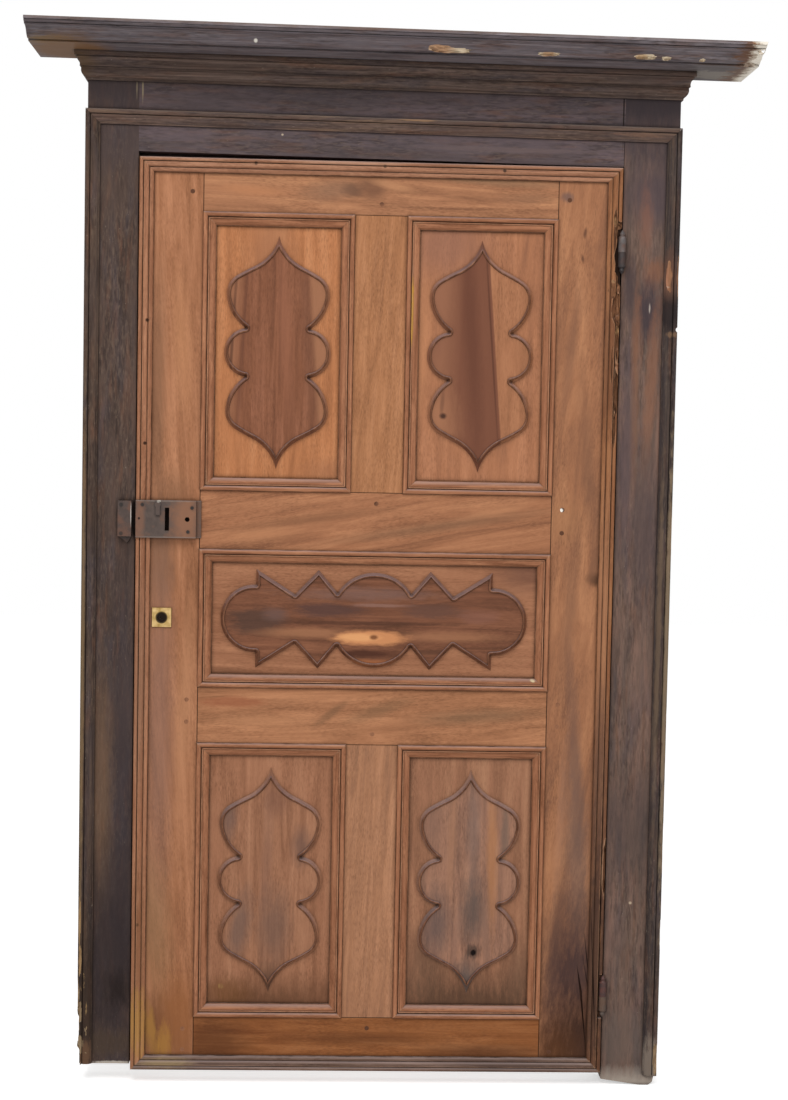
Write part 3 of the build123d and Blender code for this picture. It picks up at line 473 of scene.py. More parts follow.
def chip_away(piece, place, size, seed, rough=0.12, fineness=3):
    """Breaks a ragged chip of that size, in millimetres, out of the piece at that place. Its
    roughness is a share of its half size."""
    bpy.ops.object.select_all(action="DESELECT")
    bpy.ops.mesh.primitive_ico_sphere_add(subdivisions=fineness, radius=1)
    chip = bpy.context.object
    bpy.ops.object.mode_set(mode="EDIT")
    bpy.ops.mesh.select_all(action="SELECT")
    bpy.ops.transform.vertex_random(offset=rough, uniform=1, normal=0.6, seed=seed)
    bpy.ops.object.mode_set(mode="OBJECT")
    chip.scale = [s / 2 * mm for s in size]
    chip.location = [p * mm for p in place]
    bpy.ops.object.transform_apply(location=True, rotation=True, scale=True)
    for face in chip.data.polygons:
        face.material_index = 1
    chip.data.materials.append(piece.data.materials[0])
    chip.data.materials.append(piece.data.materials[1])
    cut = piece.modifiers.new("chip", "BOOLEAN")
    cut.operation = "DIFFERENCE"
    cut.solver = "EXACT"
    cut.object = chip
    bpy.ops.object.select_all(action="DESELECT")
    piece.select_set(True)
    bpy.context.view_layer.objects.active = piece
    bpy.ops.object.modifier_apply(modifier=cut.name)
    bpy.data.objects.remove(chip)


def chip_edges(piece, chips):
    """Breaks several chips, each (place, size, seed), out of the piece. Points that they left
    closer than a hair are merged."""
    hair = 0.02
    for place, size, seed in chips:
        chip_away(piece, place, size, seed)
    bpy.ops.object.mode_set(mode="EDIT")
    bpy.ops.mesh.select_all(action="SELECT")
    bpy.ops.mesh.remove_doubles(threshold=hair * mm)
    bpy.ops.object.mode_set(mode="OBJECT")


worn_arris = bare_softwood(
    "bare softwood, architrave",
    "up",
    (
        (-1160, 330, 40, 120, 0, "#7d6344", 0.6, 0.5, 1.6),
        (-1155, 110, 40, 110, 0, "#75644f", 0.75, 0.4, 2.4),
        (55, 1718, 40, 60, 0, "#80543d", 0.85, 0.5, 1.0),
        (43, 1706, 6, 34, 0, "#a5745a", 0.7, 0.4, 2.4),
        (60, 600, 40, 700, 0, "#6a5c4f", 0.75, 0.5, 1.6),
    ),
)
for strip, piece_name, chips in (
    ("architrave_left", "worn_left_strip", (
        ((-1161, -82, 352), (7, 8, 120), 21),
        ((-1159, -83, 262), (9, 10, 90), 22),
        ((-1164, -78, 190), (10, 14, 70), 23),
        ((-1157, -83, 150), (14, 10, 60), 24),
        ((-1166, -76, 120), (14, 20, 84), 25),
        ((-1158, -82, 84), (18, 12, 46), 26),
        ((-1166, -75, 52), (20, 24, 60), 27),
        ((-1146, -82, 112), (12, 10, 36), 28),
        ((-1146, -82, 60), (20, 9, 30), 29),
    )),
    ("architrave_right", "worn_right_strip", (
        ((70, -80, 1722), (9, 14, 96), 31),
        ((47, -82, 1716), (22, 14, 92), 32),
        ((71, -77, 1611), (10, 24, 11), 33),
        ((70, -81, 1180), (5, 9, 130), 34),
        ((70, -81, 800), (5, 9, 100), 35),
        ((70, -80, 520), (6, 10, 120), 36),
        ((70, -79, 330), (6, 12, 80), 37),
        ((68, -80, 60), (16, 14, 70), 38),
    )),
):
    worn_strip = worked_copy(strip, piece_name)
    bpy.ops.object.mode_set(mode="OBJECT")
    worn_strip.data.materials.append(worn_arris)
    chip_edges(worn_strip, chips)
    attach(worn_strip, "frame")
    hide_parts(strip)


# Cornice: a bed moulding mitred round the top of the frame, and over it a deep crown
# plank with a moulded front edge. The plank's right end has broken off and its lower
# front edge is chipped, and both show bare wood.
bed_finish = worn_paint(
    "bed moulding",
    ("#42352f", "#5c4c45", "#7f6b60"),
    "across",
    (200, 0, 40),
    (6, 300),
    ((-1180, 2130, 30, 30, 0, "#5f4a34", 0.6, 0.5, 1.2),),
    dust_and_sheen=("#8b7d74", 0.4),
)
dress("cornice_bed", bed_finish)
crown_finish = worn_paint(
    "crown",
    ("#5a5357", "#776f73", "#928a8d"),
    "across",
    (80, 0, 15),
    (9, 420),
    (
        (-600, 2187, 900, 7, 0.5, "#6b5646", 0.6, 0.4, 1.4),
        (-1235, 2152, 50, 8, 0, "#8a7350", 0.8, 0.4, 2.2, -180, 40),
        (-1195, 2150, 80, 30, 0, "#79593c", 0.9, 0.3, 0.8, -85, 110),
        (140, 2130, 110, 40, 0, "#4f4843", 0.7, 0.4, 1.8, -85, 90),
        (140, 2138, 60, 20, 0, "#8b8278", 0.7, 0.12, 3.4, -60, 42),
        (204, 2162, 46, 60, 0, "#6b4c38", 0.8, 0.14, 3.0),
        (190, 2174, 14, 6, 0, "#8a5f3d", 0.8, 0.14, 2.6),
        (216, 2160, 34, 60, 0, "#b9ab9a", 0.9, 0.12, 3.0),
        (220, 2160, 28, 60, 0, "#eae2d4", 0.92, 0.1, 3.0),
        (-813, 2160, 3.5, 3.5, 0, "#eee9dd", 0.95, 0.3, 0.8),
        (-1000, 2147, 200, 3, 0.5, "#85796f", 0.6, 0.3, 2.4),
    ),
    dust_and_sheen=("#8f857d", 0.4),
    roughness=0.55,
)
# where the plank is broken the wood is whitest; its faces turn down into shade, so it is painted paler
# still, as painted light
broken_wood_painted_paler = bare_softwood(
    "bare softwood, crown",
    "across",
    (
        (-600, 2150, 1200, 90, 0, "#f2e2c6", 0.85, 0.5, 0.8),
        (-446, 2154, 26, 30, 0, "#b8845c", 0.75, 0.4, 2.0),
        (-226, 2150, 12, 20, 0, "#b98a5e", 0.7, 0.3, 2.4),
        (-40, 2150, 12, 20, 0, "#c9a070", 0.6, 0.3, 2.4),
        (205, 2150, 70, 90, 0, "#e0d7c9", 0.85, 0.4, 1.4),
        (188, 2172, 12, 8, 0, "#85592f", 0.7, 0.3, 2.4),
        (180, 2140, 14, 12, 0, "#74533c", 0.7, 0.3, 2.4),
    ),
)


def pick_faces(piece, wanted):
    """Leaves the piece in edit mode with just the wanted faces selected."""
    bpy.ops.mesh.select_mode(type="FACE")
    bpy.ops.mesh.select_all(action="DESELECT")
    bpy.ops.object.mode_set(mode="OBJECT")
    for face in piece.data.polygons:
        face.select = wanted(face)
    bpy.ops.object.mode_set(mode="EDIT")


crown = worked_copy("cornice_crown", "chipped_crown")
crown.data.materials.clear()
crown.data.materials.append(crown_finish)
crown.data.materials.append(broken_wood_painted_paler)
# the sloping break of the CAD plank is drawn nearly upright, and then torn off raggedly
break_top = Vector((209.3, -116, 2178)) * mm
upright = (0.25, 1, 1)
pick_faces(crown, lambda face: face.normal.x > 0.3 and face.center.x > 0.1)
bpy.ops.transform.resize(value=upright, center_override=break_top)
bpy.ops.object.mode_set(mode="OBJECT")
chip_away(crown, place=(270, -150, 2120), size=(130, 800, 400), seed=9, rough=0.03, fineness=6)
crown_chips = (
    ((-424, -186, 2152), (88, 28, 10), 1),
    ((-446, -190, 2156), (44, 18, 11), 2),
    ((-226, -185, 2150), (46, 24, 8), 3),
    ((-30, -187, 2149), (46, 28, 10), 4),
    ((13, -185, 2147.5), (20, 22, 8), 5),
    ((86, -183, 2146), (12, 18, 6), 6),
    ((200, -200, 2170), (24, 40, 26), 7),
    ((186, -170, 2140), (30, 24, 20), 8),
)
chip_edges(crown, crown_chips)
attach(crown, "frame")
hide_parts("cornice_crown")


# Leaf timbers: two full-height stiles with rails and muntins tenoned between them, all
# walnut, waxed many times and never refinished. Each has its own colour and figure.
joint_black = "#1d110b"
rail_shoulders = (-920.4, -183.6)
rail_joints = tuple((x, 1000, 1.3, 2000, 0, joint_black, 0.9, 0.3, 0.4) for x in rail_shoulders)


def muntin_joints(*shoulders):
    """The black lines where a muntin meets its rails."""
    return tuple((-552, z, 2000, 1.1, 0, joint_black, 0.85, 0.3, 0.4) for z in shoulders)


# waxed walnut: warm brown with a low sheen, streaked along the grain, grey where it faces up,
# partly dust and partly a painted sheen, and near black in the joints
for timber, tones, grain, shift, lean, figure, marks in (
    ("lock_stile", ("#7d5238", "#9d6a4b", "#b98260"), "up", (60, 0, 0), -3, (30, 380), (
        (-1010, 1450, 14, 230, 0, "#7b5a45", 0.55, 0.6, 1.0),
        (-960, 1560, 16, 120, -3, "#b9825c", 0.5, 0.6, 0.9),
        (-975, 1250, 30, 40, 0, "#7d5941", 0.5, 0.6, 1.0),
        (-1002, 1110, 26, 90, 0, "#6f523f", 0.6, 0.6, 1.0),
        (-1000, 760, 26, 330, 0, "#86665a", 0.5, 0.6, 0.9),
        (-946, 820, 14, 160, 2, "#b5825f", 0.5, 0.6, 0.9),
        (-1005, 330, 30, 130, -4, "#8c6b4c", 0.5, 0.6, 1.0),
        (-990, 110, 60, 70, 0, "#5a3822", 0.6, 0.5, 1.4),
        (-950, 140, 34, 80, 0, "#96603a", 0.6, 0.6, 1.6),
        (-1010, 110, 12, 50, -8, "#a67a3c", 0.6, 0.5, 2.6, -70, 15),
        (-980, 84, 12, 34, 0, "#a87a3a", 0.6, 0.5, 2.6, -70, 15),
        # near black under the lock plate: painted shade, seen through the lock's holes and round its edges
        (-990, 1197, 50, 37, 0, "#0c0806", 0.97, 0.02, 0, -70, 15),
    )),
    ("hinge_stile", ("#7a5440", "#9a694b", "#b37e5a"), "up", (-130, 0, 90), 6, (40, 260), (
        (-166, 1881, 12, 9, 0, "#63504c", 0.7, 0.5, 1.2),
        (-127, 1808, 3, 10, 10, "#5c3d2f", 0.8, 0.5, 1.2),
        (-131, 1754, 3, 8, -10, "#5c3d2f", 0.8, 0.5, 1.2),
        # the next two are painted shadow in the gap between the upper hinge and the moulding
        (-72, 1765, 8, 60, 0, "#3a241a", 0.6, 0.5, 1.4),
        (-54, 1755, 14, 86, 0, "#0f0907", 0.95, 0.4, 0.8),
        (-150, 1560, 10, 120, 6, "#7d5844", 0.5, 0.6, 1.0),
        (-110, 1330, 12, 160, -5, "#75523f", 0.5, 0.6, 1.0),
        (-160, 1210, 40, 40, 0, "#a0724f", 0.4, 0.6, 0.8),
        (-88, 1084, 15, 12, 10, "#4f3526", 0.85, 0.5, 1.2),
        (-92, 1110, 8, 40, 12, "#7b5641", 0.6, 0.6, 1.0),
        (-140, 1000, 12, 150, 4, "#7f5a45", 0.5, 0.6, 1.0),
        (-120, 690, 12, 190, -4, "#6d5145", 0.65, 0.6, 1.0),
        (-150, 560, 8, 160, 2, "#a5765a", 0.5, 0.6, 1.0),
        (-112, 470, 24, 190, -4, "#6b564d", 0.6, 0.6, 1.4),
        (-150, 330, 14, 140, 4, "#6b4d3f", 0.6, 0.6, 1.0),
        (-110, 240, 64, 120, 0, "#382b2d", 0.85, 0.7, 1.4),
        (-90, 90, 80, 90, 0, "#33211a", 0.85, 0.6, 1.4),
        (-150, 60, 40, 60, 0, "#54341f", 0.7, 0.6, 1.6),
        (-68, 145, 1.6, 115, -11, "#0d0706", 0.95, 0.4, 0.4),
        (-82, 250, 1.2, 70, -7, "#160c09", 0.9, 0.4, 0.5),
    )),
    ("top_rail", ("#7c543d", "#a27051", "#be8862"), "across", (330, 0, 20), 2, (26, 430), (
        (-575, 1890, 30, 22, 10, "#6d4b39", 0.75, 0.5, 1.2),
        (-614, 1885, 20, 14, 0, "#553b2f", 0.7, 0.5, 1.2),
        (-655, 1884, 50, 18, -8, "#7c5d4a", 0.6, 0.6, 1.0),
        (-530, 1896, 40, 8, 12, "#b7845f", 0.6, 0.5, 1.0),
        (-330, 1912, 130, 9, 3, "#86684f", 0.6, 0.6, 1.0),
        (-820, 1880, 60, 9, 3, "#b37a55", 0.6, 0.6, 1.0),
        (-250, 1876, 50, 10, -4, "#7a5742", 0.5, 0.6, 1.0),
        *rail_joints,
    )),
    ("lock_rail", ("#7c523b", "#a06c4d", "#b8815d"), "across", (700, 0, 60), -9, (22, 330), (
        (-420, 1190, 190, 10, -9, "#745540", 0.55, 0.6, 1.0),
        (-700, 1200, 140, 9, -8, "#80583f", 0.5, 0.6, 1.0),
        (-800, 1165, 70, 12, -6, "#b8815c", 0.5, 0.6, 1.0),
        (-300, 1225, 60, 9, -12, "#b5805c", 0.5, 0.6, 1.0),
        *rail_joints,
    )),
    ("lower_rail", ("#80563c", "#a16e4e", "#bd8560"), "across", (150, 0, 10), -3, (24, 300), (
        (-640, 792, 40, 8, -38, "#74543d", 0.6, 0.5, 1.0),
        (-540, 800, 60, 12, -20, "#7a5a41", 0.55, 0.6, 1.0),
        (-330, 790, 110, 14, -4, "#7c5e46", 0.55, 0.6, 1.0),
        (-850, 815, 60, 10, 0, "#8c5138", 0.6, 0.4, 2.0),
        (-790, 775, 80, 12, 0, "#bb8560", 0.5, 0.6, 1.0),
        *rail_joints,
    )),
    ("bottom_rail", ("#6d3e23", "#8d5833", "#a66e46"), "across", (420, 0, 240), 0, (24, 340), (
        (-880, 85, 70, 50, 0, "#4f2f1d", 0.6, 0.5, 1.4),
        (-560, 95, 140, 12, 0, "#5c3822", 0.5, 0.6, 1.2),
        (-300, 70, 120, 14, 0, "#4d3020", 0.6, 0.6, 1.2),
        *rail_joints,
    )),
    (
        "upper_muntin",
        ("#8a5d40", "#a5714d", "#bd8660"),
        "up",
        (0, 0, 400),
        3,
        (22, 330),
        muntin_joints(1834.4, 1258.6),
    ),
    (
        "lower_muntin",
        ("#86604a", "#a57556", "#bb8867"),
        "up",
        (80, 0, 900),
        3,
        (22, 330),
        muntin_joints(727.4, 141.6),
    ),
):
    finish = aged_timber(
        "waxed walnut, " + timber.replace("_", " "),
        tones,
        grain=grain,
        shift=shift,
        lean=lean,
        figure=figure,
        marks=marks,
    )
    dress(timber, finish)


# Panels: five walnut boards held loose in the grooves of the leaf, flat in front and
# thinned at the back. Dirt has settled along the bottom of the two lower ones.
panel_figure = (36, 420)
# the panels are darkened close to the mouldings, partly dirt and partly painted shade
panel_dirt_and_shade = ("#24150f", 0.9, 10)
for panel, tones, grain, shift, marks in (
    ("upper_left_panel", ("#95603f", "#b3764e", "#c78b61"), "up", (20, 0, 50), (
        (-780, 1750, 40, 110, 0, "#936449", 0.6, 0.6, 0.9),
        (-640, 1300, 60, 24, 0, "#8f6045", 0.5, 0.6, 1.0),
    )),
    ("upper_right_panel", ("#8a5d45", "#a67050", "#bb8260"), "up", (500, 0, 500), (
        (-420, 1780, 80, 60, 0, "#8a6150", 0.6, 0.6, 0.9),
        (-460, 1560, 14, 120, 2, "#b57d58", 0.5, 0.6, 0.9),
    )),
    ("middle_panel", ("#80543c", "#9b6a4e", "#b07c5c"), "across", (260, 0, 630), (
        (-230, 1100, 60, 40, 0, "#6b4a3d", 0.6, 0.6, 1.0),
        (-870, 870, 60, 14, 0, "#6b4834", 0.6, 0.5, 1.2),
    )),
    ("lower_left_panel", ("#80563f", "#9b6b50", "#b07e60"), "up", (910, 0, 40), (
        (-763, 160, 200, 55, 0, "#573a28", 0.75, 0.6, 1.4),
        (-850, 190, 40, 30, 0, "#6b4526", 0.5, 0.5, 2.0),
        (-862, 205, 10, 8, 0, "#a58550", 0.6, 0.2, 3.4, -68, 7),
    )),
    ("lower_right_panel", ("#7c5641", "#9a6c52", "#ad7f61"), "up", (640, 0, 310), (
        (-340, 165, 200, 60, 0, "#4c382b", 0.8, 0.6, 1.4),
        (-430, 260, 40, 60, 0, "#584335", 0.55, 0.6, 1.2),
        (-230, 240, 30, 60, 0, "#544033", 0.5, 0.6, 1.2),
    )),
):
    finish = aged_timber(
        "waxed walnut, " + panel.replace("_", " "),
        tones,
        grain=grain,
        shift=shift,
        figure=panel_figure,
        crease_dirt_and_shade=panel_dirt_and_shade,
        marks=marks,
    )
    dress(panel, finish)


# Panel mouldings: four moulded walnut strips pinned round each panel, mitred at the
# corners. What faces up is lightened, partly dust and partly a painted sheen; the quirks of the
# profile are darkened, partly dirt and partly painted shade; the arrises are pale, partly wear and
# partly a painted highlight.
strip_dust_and_sheen = ("#a4928d", 0.5)
strip_dirt_and_shade = ("#2a1910", 0.55, 5)
strip_arris_wear_and_highlight = ("#c79b7a", 0.5, 2.5)
yellow_chip = (-484.6, 1640, 2.5, 64, 0, "#c9973f", 0.9, 0.3, 1.4)
pale_speck = (-215, 868, 5, 3, 20, "#d9c79a", 0.9, 0.3, 1.2)
for panel in ("upper_left", "upper_right", "middle", "lower_left", "lower_right"):
    low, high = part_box(panel + "_moulding")
    elsewhere = (low.x * 700, 0, low.z * 300)
    finish = aged_timber(
        f"waxed walnut, {panel.replace('_', ' ')} moulding",
        ("#714730", "#99664a", "#b8815f"),
        grain=(low, high),
        shift=elsewhere,
        figure=(10, 190),
        dust_and_sheen=strip_dust_and_sheen,
        crease_dirt_and_shade=strip_dirt_and_shade,
        quirks=((0.3, 1.1), (11, 1.1), (27.6, 0.9)),
        arris_wear_and_highlight=strip_arris_wear_and_highlight,
        marks=(yellow_chip, pale_speck),
    )
    dress(panel + "_moulding", finish)


# Cartouches: five shaped walnut boards glued on the panels, with a bevelled edge and a
# bead bent round its rim. Their figure was picked for show and is darker than the panels.
bead_thickness = 4.6
bead_rounding = 2
bead_smoothing = math.radians(50)
half_board = (1000, 40000)
# the bead is darkened close round, partly dirt and partly painted shade, and its top lightened, partly dust
# and partly a painted sheen
bead_finish = aged_timber(
    "waxed walnut, beads",
    ("#4c3022", "#6f4936", "#93684e"),
    shift=(35, 0, 75),
    figure=(14, 60),
    dust_and_sheen=("#a09094", 0.5),
    crease_dirt_and_shade=("#180c08", 0.97, 9),
)
for panel, tones, grain, shift, figure, marks in (
    ("upper_left", ("#6a4331", "#80523b", "#94624a"), "up", (240, 0, 810), (15, 300), (
        (-1847, 1566, *half_board, 3, "#9c6b4f", 0.6, 0.008, 0.006),
        (-858, 1560, 3, 180, 3, "#5a3b2d", 0.75, 0.5, 1.0),
        (-836, 1560, 4, 200, 3, "#633f30", 0.6, 0.5, 1.0),
        (-698, 1566, 12, 230, -4, "#6d4837", 0.5, 0.6, 0.9),
        (-748, 1600, 12, 150, -3, "#96624a", 0.5, 0.6, 1.0),
        (314, 1566, *half_board, -4, "#a37254", 0.65, 0.006, 0.006),
        (-640, 1545, 4, 200, -3, "#8a5d45", 0.5, 0.6, 1.0),
    )),
    ("upper_right", ("#8e6044", "#a06c4d", "#b27c5a"), "up", (700, 0, 350), (26, 340), (
        (-1315, 1590, *half_board, -4.7, "#6f4636", 0.92, 0.0015, 0.001),
        (-360, 1590, 16, 220, -4.5, "#5d392c", 0.6, 0.6, 0.9),
        (-1400, 1580, *half_board, 1.6, "#96674d", 0.6, 0.02, 0.016),
        (-455, 1690, 40, 80, 0, "#93644c", 0.5, 0.6, 0.9),
        (-462, 1585, 36, 40, 0, "#7d5342", 0.6, 0.6, 1.2),
        (-440, 1400, 46, 80, 0, "#9e6d50", 0.75, 0.6, 0.9),
        (-416, 1422, 7, 6, 0, "#3a2620", 0.9, 0.4, 0.9),
        (-418, 1450, 4, 24, 4, "#6b4838", 0.6, 0.5, 0.9),
        (-318, 1590, 2, 210, -4.7, "#4d2f24", 0.6, 0.5, 0.6),
    )),
    ("middle", ("#57392a", "#734a37", "#8b5c44"), "across", (370, 0, 130), (18, 240), (
        (-800, 985, 56, 26, 0, "#4c3931", 0.75, 0.35, 1.8),
        (-760, 1000, 24, 14, 0, "#6a5048", 0.7, 0.5, 1.2),
        (-572, 1046, 130, 12, 0, "#745951", 0.6, 0.6, 2.2),
        (-648, 1010, 70, 14, 0, "#523b36", 0.75, 0.35, 1.8),
        (-540, 1022, 60, 4, 0, "#8e6b5f", 0.6, 0.35, 1.8),
        (-430, 1012, 60, 14, 0, "#5f4339", 0.7, 0.35, 1.8),
        (-330, 1000, 36, 14, 0, "#83594a", 0.5, 0.35, 1.8),
        (-560, 984, 180, 4, 0, "#452d23", 0.6, 0.35, 1.8),
        (-690, 962, 90, 10, 0, "#9c6c4e", 0.7, 0.5, 1.0),
        (-392, 958, 100, 10, 0, "#9a6a4d", 0.7, 0.5, 1.0),
        (-560, 953, 74, 15, 0, "#c4865a", 0.95, 0.25, 1.0),
        (-585, 954, 40, 8, 0, "#dca06c", 0.75, 0.4, 1.2),
        (-552, 955, 8, 5, 0, "#71452c", 0.9, 0.4, 0.9),
        (-571, 920, 66, 7, 0, "#472a20", 0.85, 0.5, 1.0),
        (-560, 900, 50, 7, 0, "#a0623d", 0.7, 0.5, 1.0),
        (-420, 925, 60, 5, 0, "#523629", 0.7, 0.5, 1.0),
        (-289, 917, 4, 2, 0, "#e8d7a2", 0.9, 0.3, 0.9),
    )),
    ("lower_left", ("#7b533d", "#97694f", "#ad7d60"), "up", (110, 0, 620), (18, 300), (
        (-753, 604, 24, 30, 0, "#6b493c", 0.5, 0.6, 2.0),
        (-851, 570, 16, 44, 4, "#62504a", 0.65, 0.6, 1.2),
        (-697, 507, 18, 36, 0, "#664e45", 0.65, 0.6, 1.2),
        (-770, 470, 10, 120, 2, "#85604e", 0.5, 0.6, 1.0),
        (-826, 330, 20, 70, 10, "#64524b", 0.65, 0.6, 1.2),
        (-753, 335, 30, 70, 0, "#6a5349", 0.6, 0.6, 1.2),
        (-690, 300, 14, 60, -6, "#a5765a", 0.5, 0.6, 1.2),
        (-763, 212, 50, 34, 0, "#563f33", 0.8, 0.6, 1.2),
    )),
    ("lower_right", ("#735648", "#946c58", "#ab7f66"), "up", (880, 0, 150), (18, 300), (
        (-292, 500, 10, 140, -1, "#a8744f", 0.7, 0.5, 1.4),
        (-266, 541, 8, 56, 0, "#66584f", 0.6, 0.5, 1.8),
        (-332, 541, 13, 110, 0, "#77645c", 0.5, 0.6, 1.6),
        (-378, 540, 8, 120, 2, "#a4775c", 0.6, 0.6, 1.0),
        (-420, 560, 14, 70, 0, "#7a5c4e", 0.5, 0.6, 1.0),
        (-330, 372, 24, 60, 0, "#544b47", 0.7, 0.6, 1.8),
        (-365, 320, 7, 70, 4, "#8f6b5a", 0.5, 0.5, 1.8),
        (-300, 300, 7, 80, -4, "#8b6958", 0.5, 0.5, 1.8),
        (-407, 345, 24, 64, 0, "#5b4d4a", 0.7, 0.6, 1.2),
        (-328, 286, 14, 14, 0, "#41352f", 0.75, 0.4, 2.2),
        (-328, 283, 5, 6, 20, "#0e0908", 0.97, 0.3, 2.0),
        (-340, 216, 30, 40, 0, "#58504c", 0.75, 0.6, 1.2),
    )),
):
    finish = aged_timber(
        f"waxed walnut, {panel.replace('_', ' ')} cartouche",
        tones,
        grain=grain,
        shift=shift,
        figure=figure,
        # tops lightened, partly dust and partly a painted sheen; edges darkened, partly dirt and partly
        # painted shade
        dust_and_sheen=("#9a8b8c", 0.45),
        crease_dirt_and_shade=("#24150f", 0.95, 10),
        marks=marks,
    )
    dress(panel + "_cartouche", finish)
    bead = worked_copy(panel + "_cartouche", panel + "_cartouche_bead")
    pick_faces(bead, lambda face: face.normal.y > -0.99)
    bpy.ops.mesh.delete(type="FACE")
    bpy.ops.mesh.select_all(action="SELECT")
    bpy.ops.mesh.delete(type="ONLY_FACE")
    bpy.ops.object.mode_set(mode="OBJECT")
    bpy.ops.object.convert(target="CURVE")
    bead.data.bevel_depth = bead_thickness / 2 * mm
    bead.data.bevel_resolution = bead_rounding
    bpy.ops.object.convert(target="MESH")
    bpy.ops.object.mode_set(mode="EDIT")
    bpy.ops.mesh.select_all(action="SELECT")
    bpy.ops.mesh.remove_doubles(threshold=same_point * mm)
    bpy.ops.mesh.normals_make_consistent(inside=False)
    bpy.ops.object.mode_set(mode="OBJECT")
    bpy.ops.object.shade_smooth_by_angle(angle=bead_smoothing)
    bead.data.materials.clear()
    bead.data.materials.append(bead_finish)
    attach(bead, "leaf")


# Edge mouldings: walnut strips nailed round the leaf's edge, lapping the frame. The one
# on the hinge side is torn off round the upper hinge and splintered below it.
leaf_low = Vector((-1052, 0, 29)) * mm
leaf_high = Vector((-52, 0, 1943)) * mm


def nail_heads(*places):
    """Black nail heads at those places, each (x, z)."""
    return tuple((x, z, 3.5, 3.5, 0, "#22140e", 0.9, 0.3, 0.6) for x, z in places)


for strip, tones, shift, marks in (
    ("edge_moulding_top", ("#7b513c", "#a07156", "#ba8a6d"), (1190, 0, 680), (
        *nail_heads((-813, 1934), (-547, 1934), (-299, 1931)),
        (-620, 1938, 90, 4, 0, "#b98f77", 0.5, 0.4, 1.6),
    )),
    ("edge_moulding_left", ("#784c36", "#9a6a4e", "#b58264"), (1260, 0, 720), (
        *nail_heads((-1033, 1608), (-1035, 1354), (-1040, 340)),
        (-1040, 860, 10, 200, 0, "#86644f", 0.5, 0.5, 1.2),
        (-1036, 300, 10, 160, 0, "#7a5338", 0.5, 0.5, 1.2),
        (-1037, 125, 20, 60, 0, "#a9803f", 0.6, 0.4, 2.8),
        # near-black strip at the lock: painted shade in the gap between the leaf's edge and the keeper
        (-1053, 1197, 3, 38, 0, "#0d0806", 0.95, 0.2, 0.4),
    )),
    ("edge_moulding_bottom", ("#4b3a32", "#6d564b", "#8c7468"), (1400, 0, 800), (
        (-980, 45, 50, 10, 0, "#a08a64", 0.6, 0.4, 2.2),
        (-250, 45, 120, 12, 0, "#4a3b36", 0.6, 0.5, 1.4),
    )),
    ("edge_moulding_right", ("#6b432d", "#8c5d3f", "#aa7852"), (1330, 0, 760), (
        (-70, 1560, 30, 140, 0, "#6b4733", 0.6, 0.4, 1.4),
        (-60, 1480, 3, 80, 0, "#2b1810", 0.8, 0.4, 1.6),
        (-66, 1800, 3, 50, 0, "#25150e", 0.8, 0.4, 1.6),
        (-72, 1000, 10, 220, 0, "#a9795a", 0.5, 0.5, 1.4),
        (-70, 640, 16, 200, 0, "#5f463a", 0.7, 0.5, 1.4),
        (-70, 250, 30, 280, 0, "#40302a", 0.85, 0.5, 1.4),
        (-60, 400, 1.4, 190, 0, "#0e0706", 0.9, 0.4, 0.6),
        (-72, 240, 1.4, 120, -3, "#0e0706", 0.9, 0.4, 0.6),
    )),
):
    # their quirks and corners are darkened, partly dirt and partly painted shade; their tops lightened,
    # partly dust and partly a painted sheen; their arrises paled, partly wear and partly a painted highlight
    finish = aged_timber(
        "waxed walnut, " + strip.replace("_", " "),
        tones,
        grain=(leaf_low, leaf_high),
        shift=shift,
        figure=(10, 220),
        dust_and_sheen=strip_dust_and_sheen,
        crease_dirt_and_shade=strip_dirt_and_shade,
        quirks=((8.9, 0.9), (20.8, 0.9), (29.6, 0.8)),
        arris_wear_and_highlight=strip_arris_wear_and_highlight,
        marks=marks,
    )
    dress(strip, finish)
# torn walnut: dull brown fibres, pale where the splinters lifted
torn_wood = aged_timber(
    "torn walnut",
    ("#4a2f20", "#6f4a33", "#93694a"),
    shift=(5, 0, 9),
    figure=(2, 40),
    dust_and_sheen=("#a3938c", 0.2),
    crease_dirt_and_shade=("#170d09", 0.8, 6),
    marks=(
        (-68, 1712, 4, 8, 0, "#b08862", 0.65, 0.3, 2.6),
        (-66, 1832, 6, 9, 0, "#9c7551", 0.7, 0.3, 2.6),
        (-58, 1608, 6, 8, 0, "#b18a60", 0.75, 0.3, 2.6),
    ),
)
torn_strip = worked_copy("edge_moulding_right", "torn_edge_moulding")
bpy.ops.object.mode_set(mode="OBJECT")
torn_strip.data.materials.append(torn_wood)
torn_chips = (
    ((-48, -80, 1757), (30, 26, 160), 10),
    ((-57, -80, 1812), (16, 14, 46), 11),
    ((-66, -84, 1838), (10, 12, 40), 12),
    ((-72, -84, 1690), (30, 14, 50), 13),
    ((-60, -82, 1652), (20, 16, 70), 14),
    ((-55, -80, 1585), (12, 14, 90), 15),
    ((-66, -84, 1530), (7, 9, 110), 16),
    ((-56, -80, 1478), (10, 12, 100), 17),
    ((-58, -82, 1400), (6, 8, 70), 18),
    ((-54, -80, 470), (8, 10, 120), 19),
    ((-60, -84, 320), (6, 9, 90), 20),
)
chip_edges(torn_strip, torn_chips)
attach(torn_strip, "leaf")
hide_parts("edge_moulding_right")


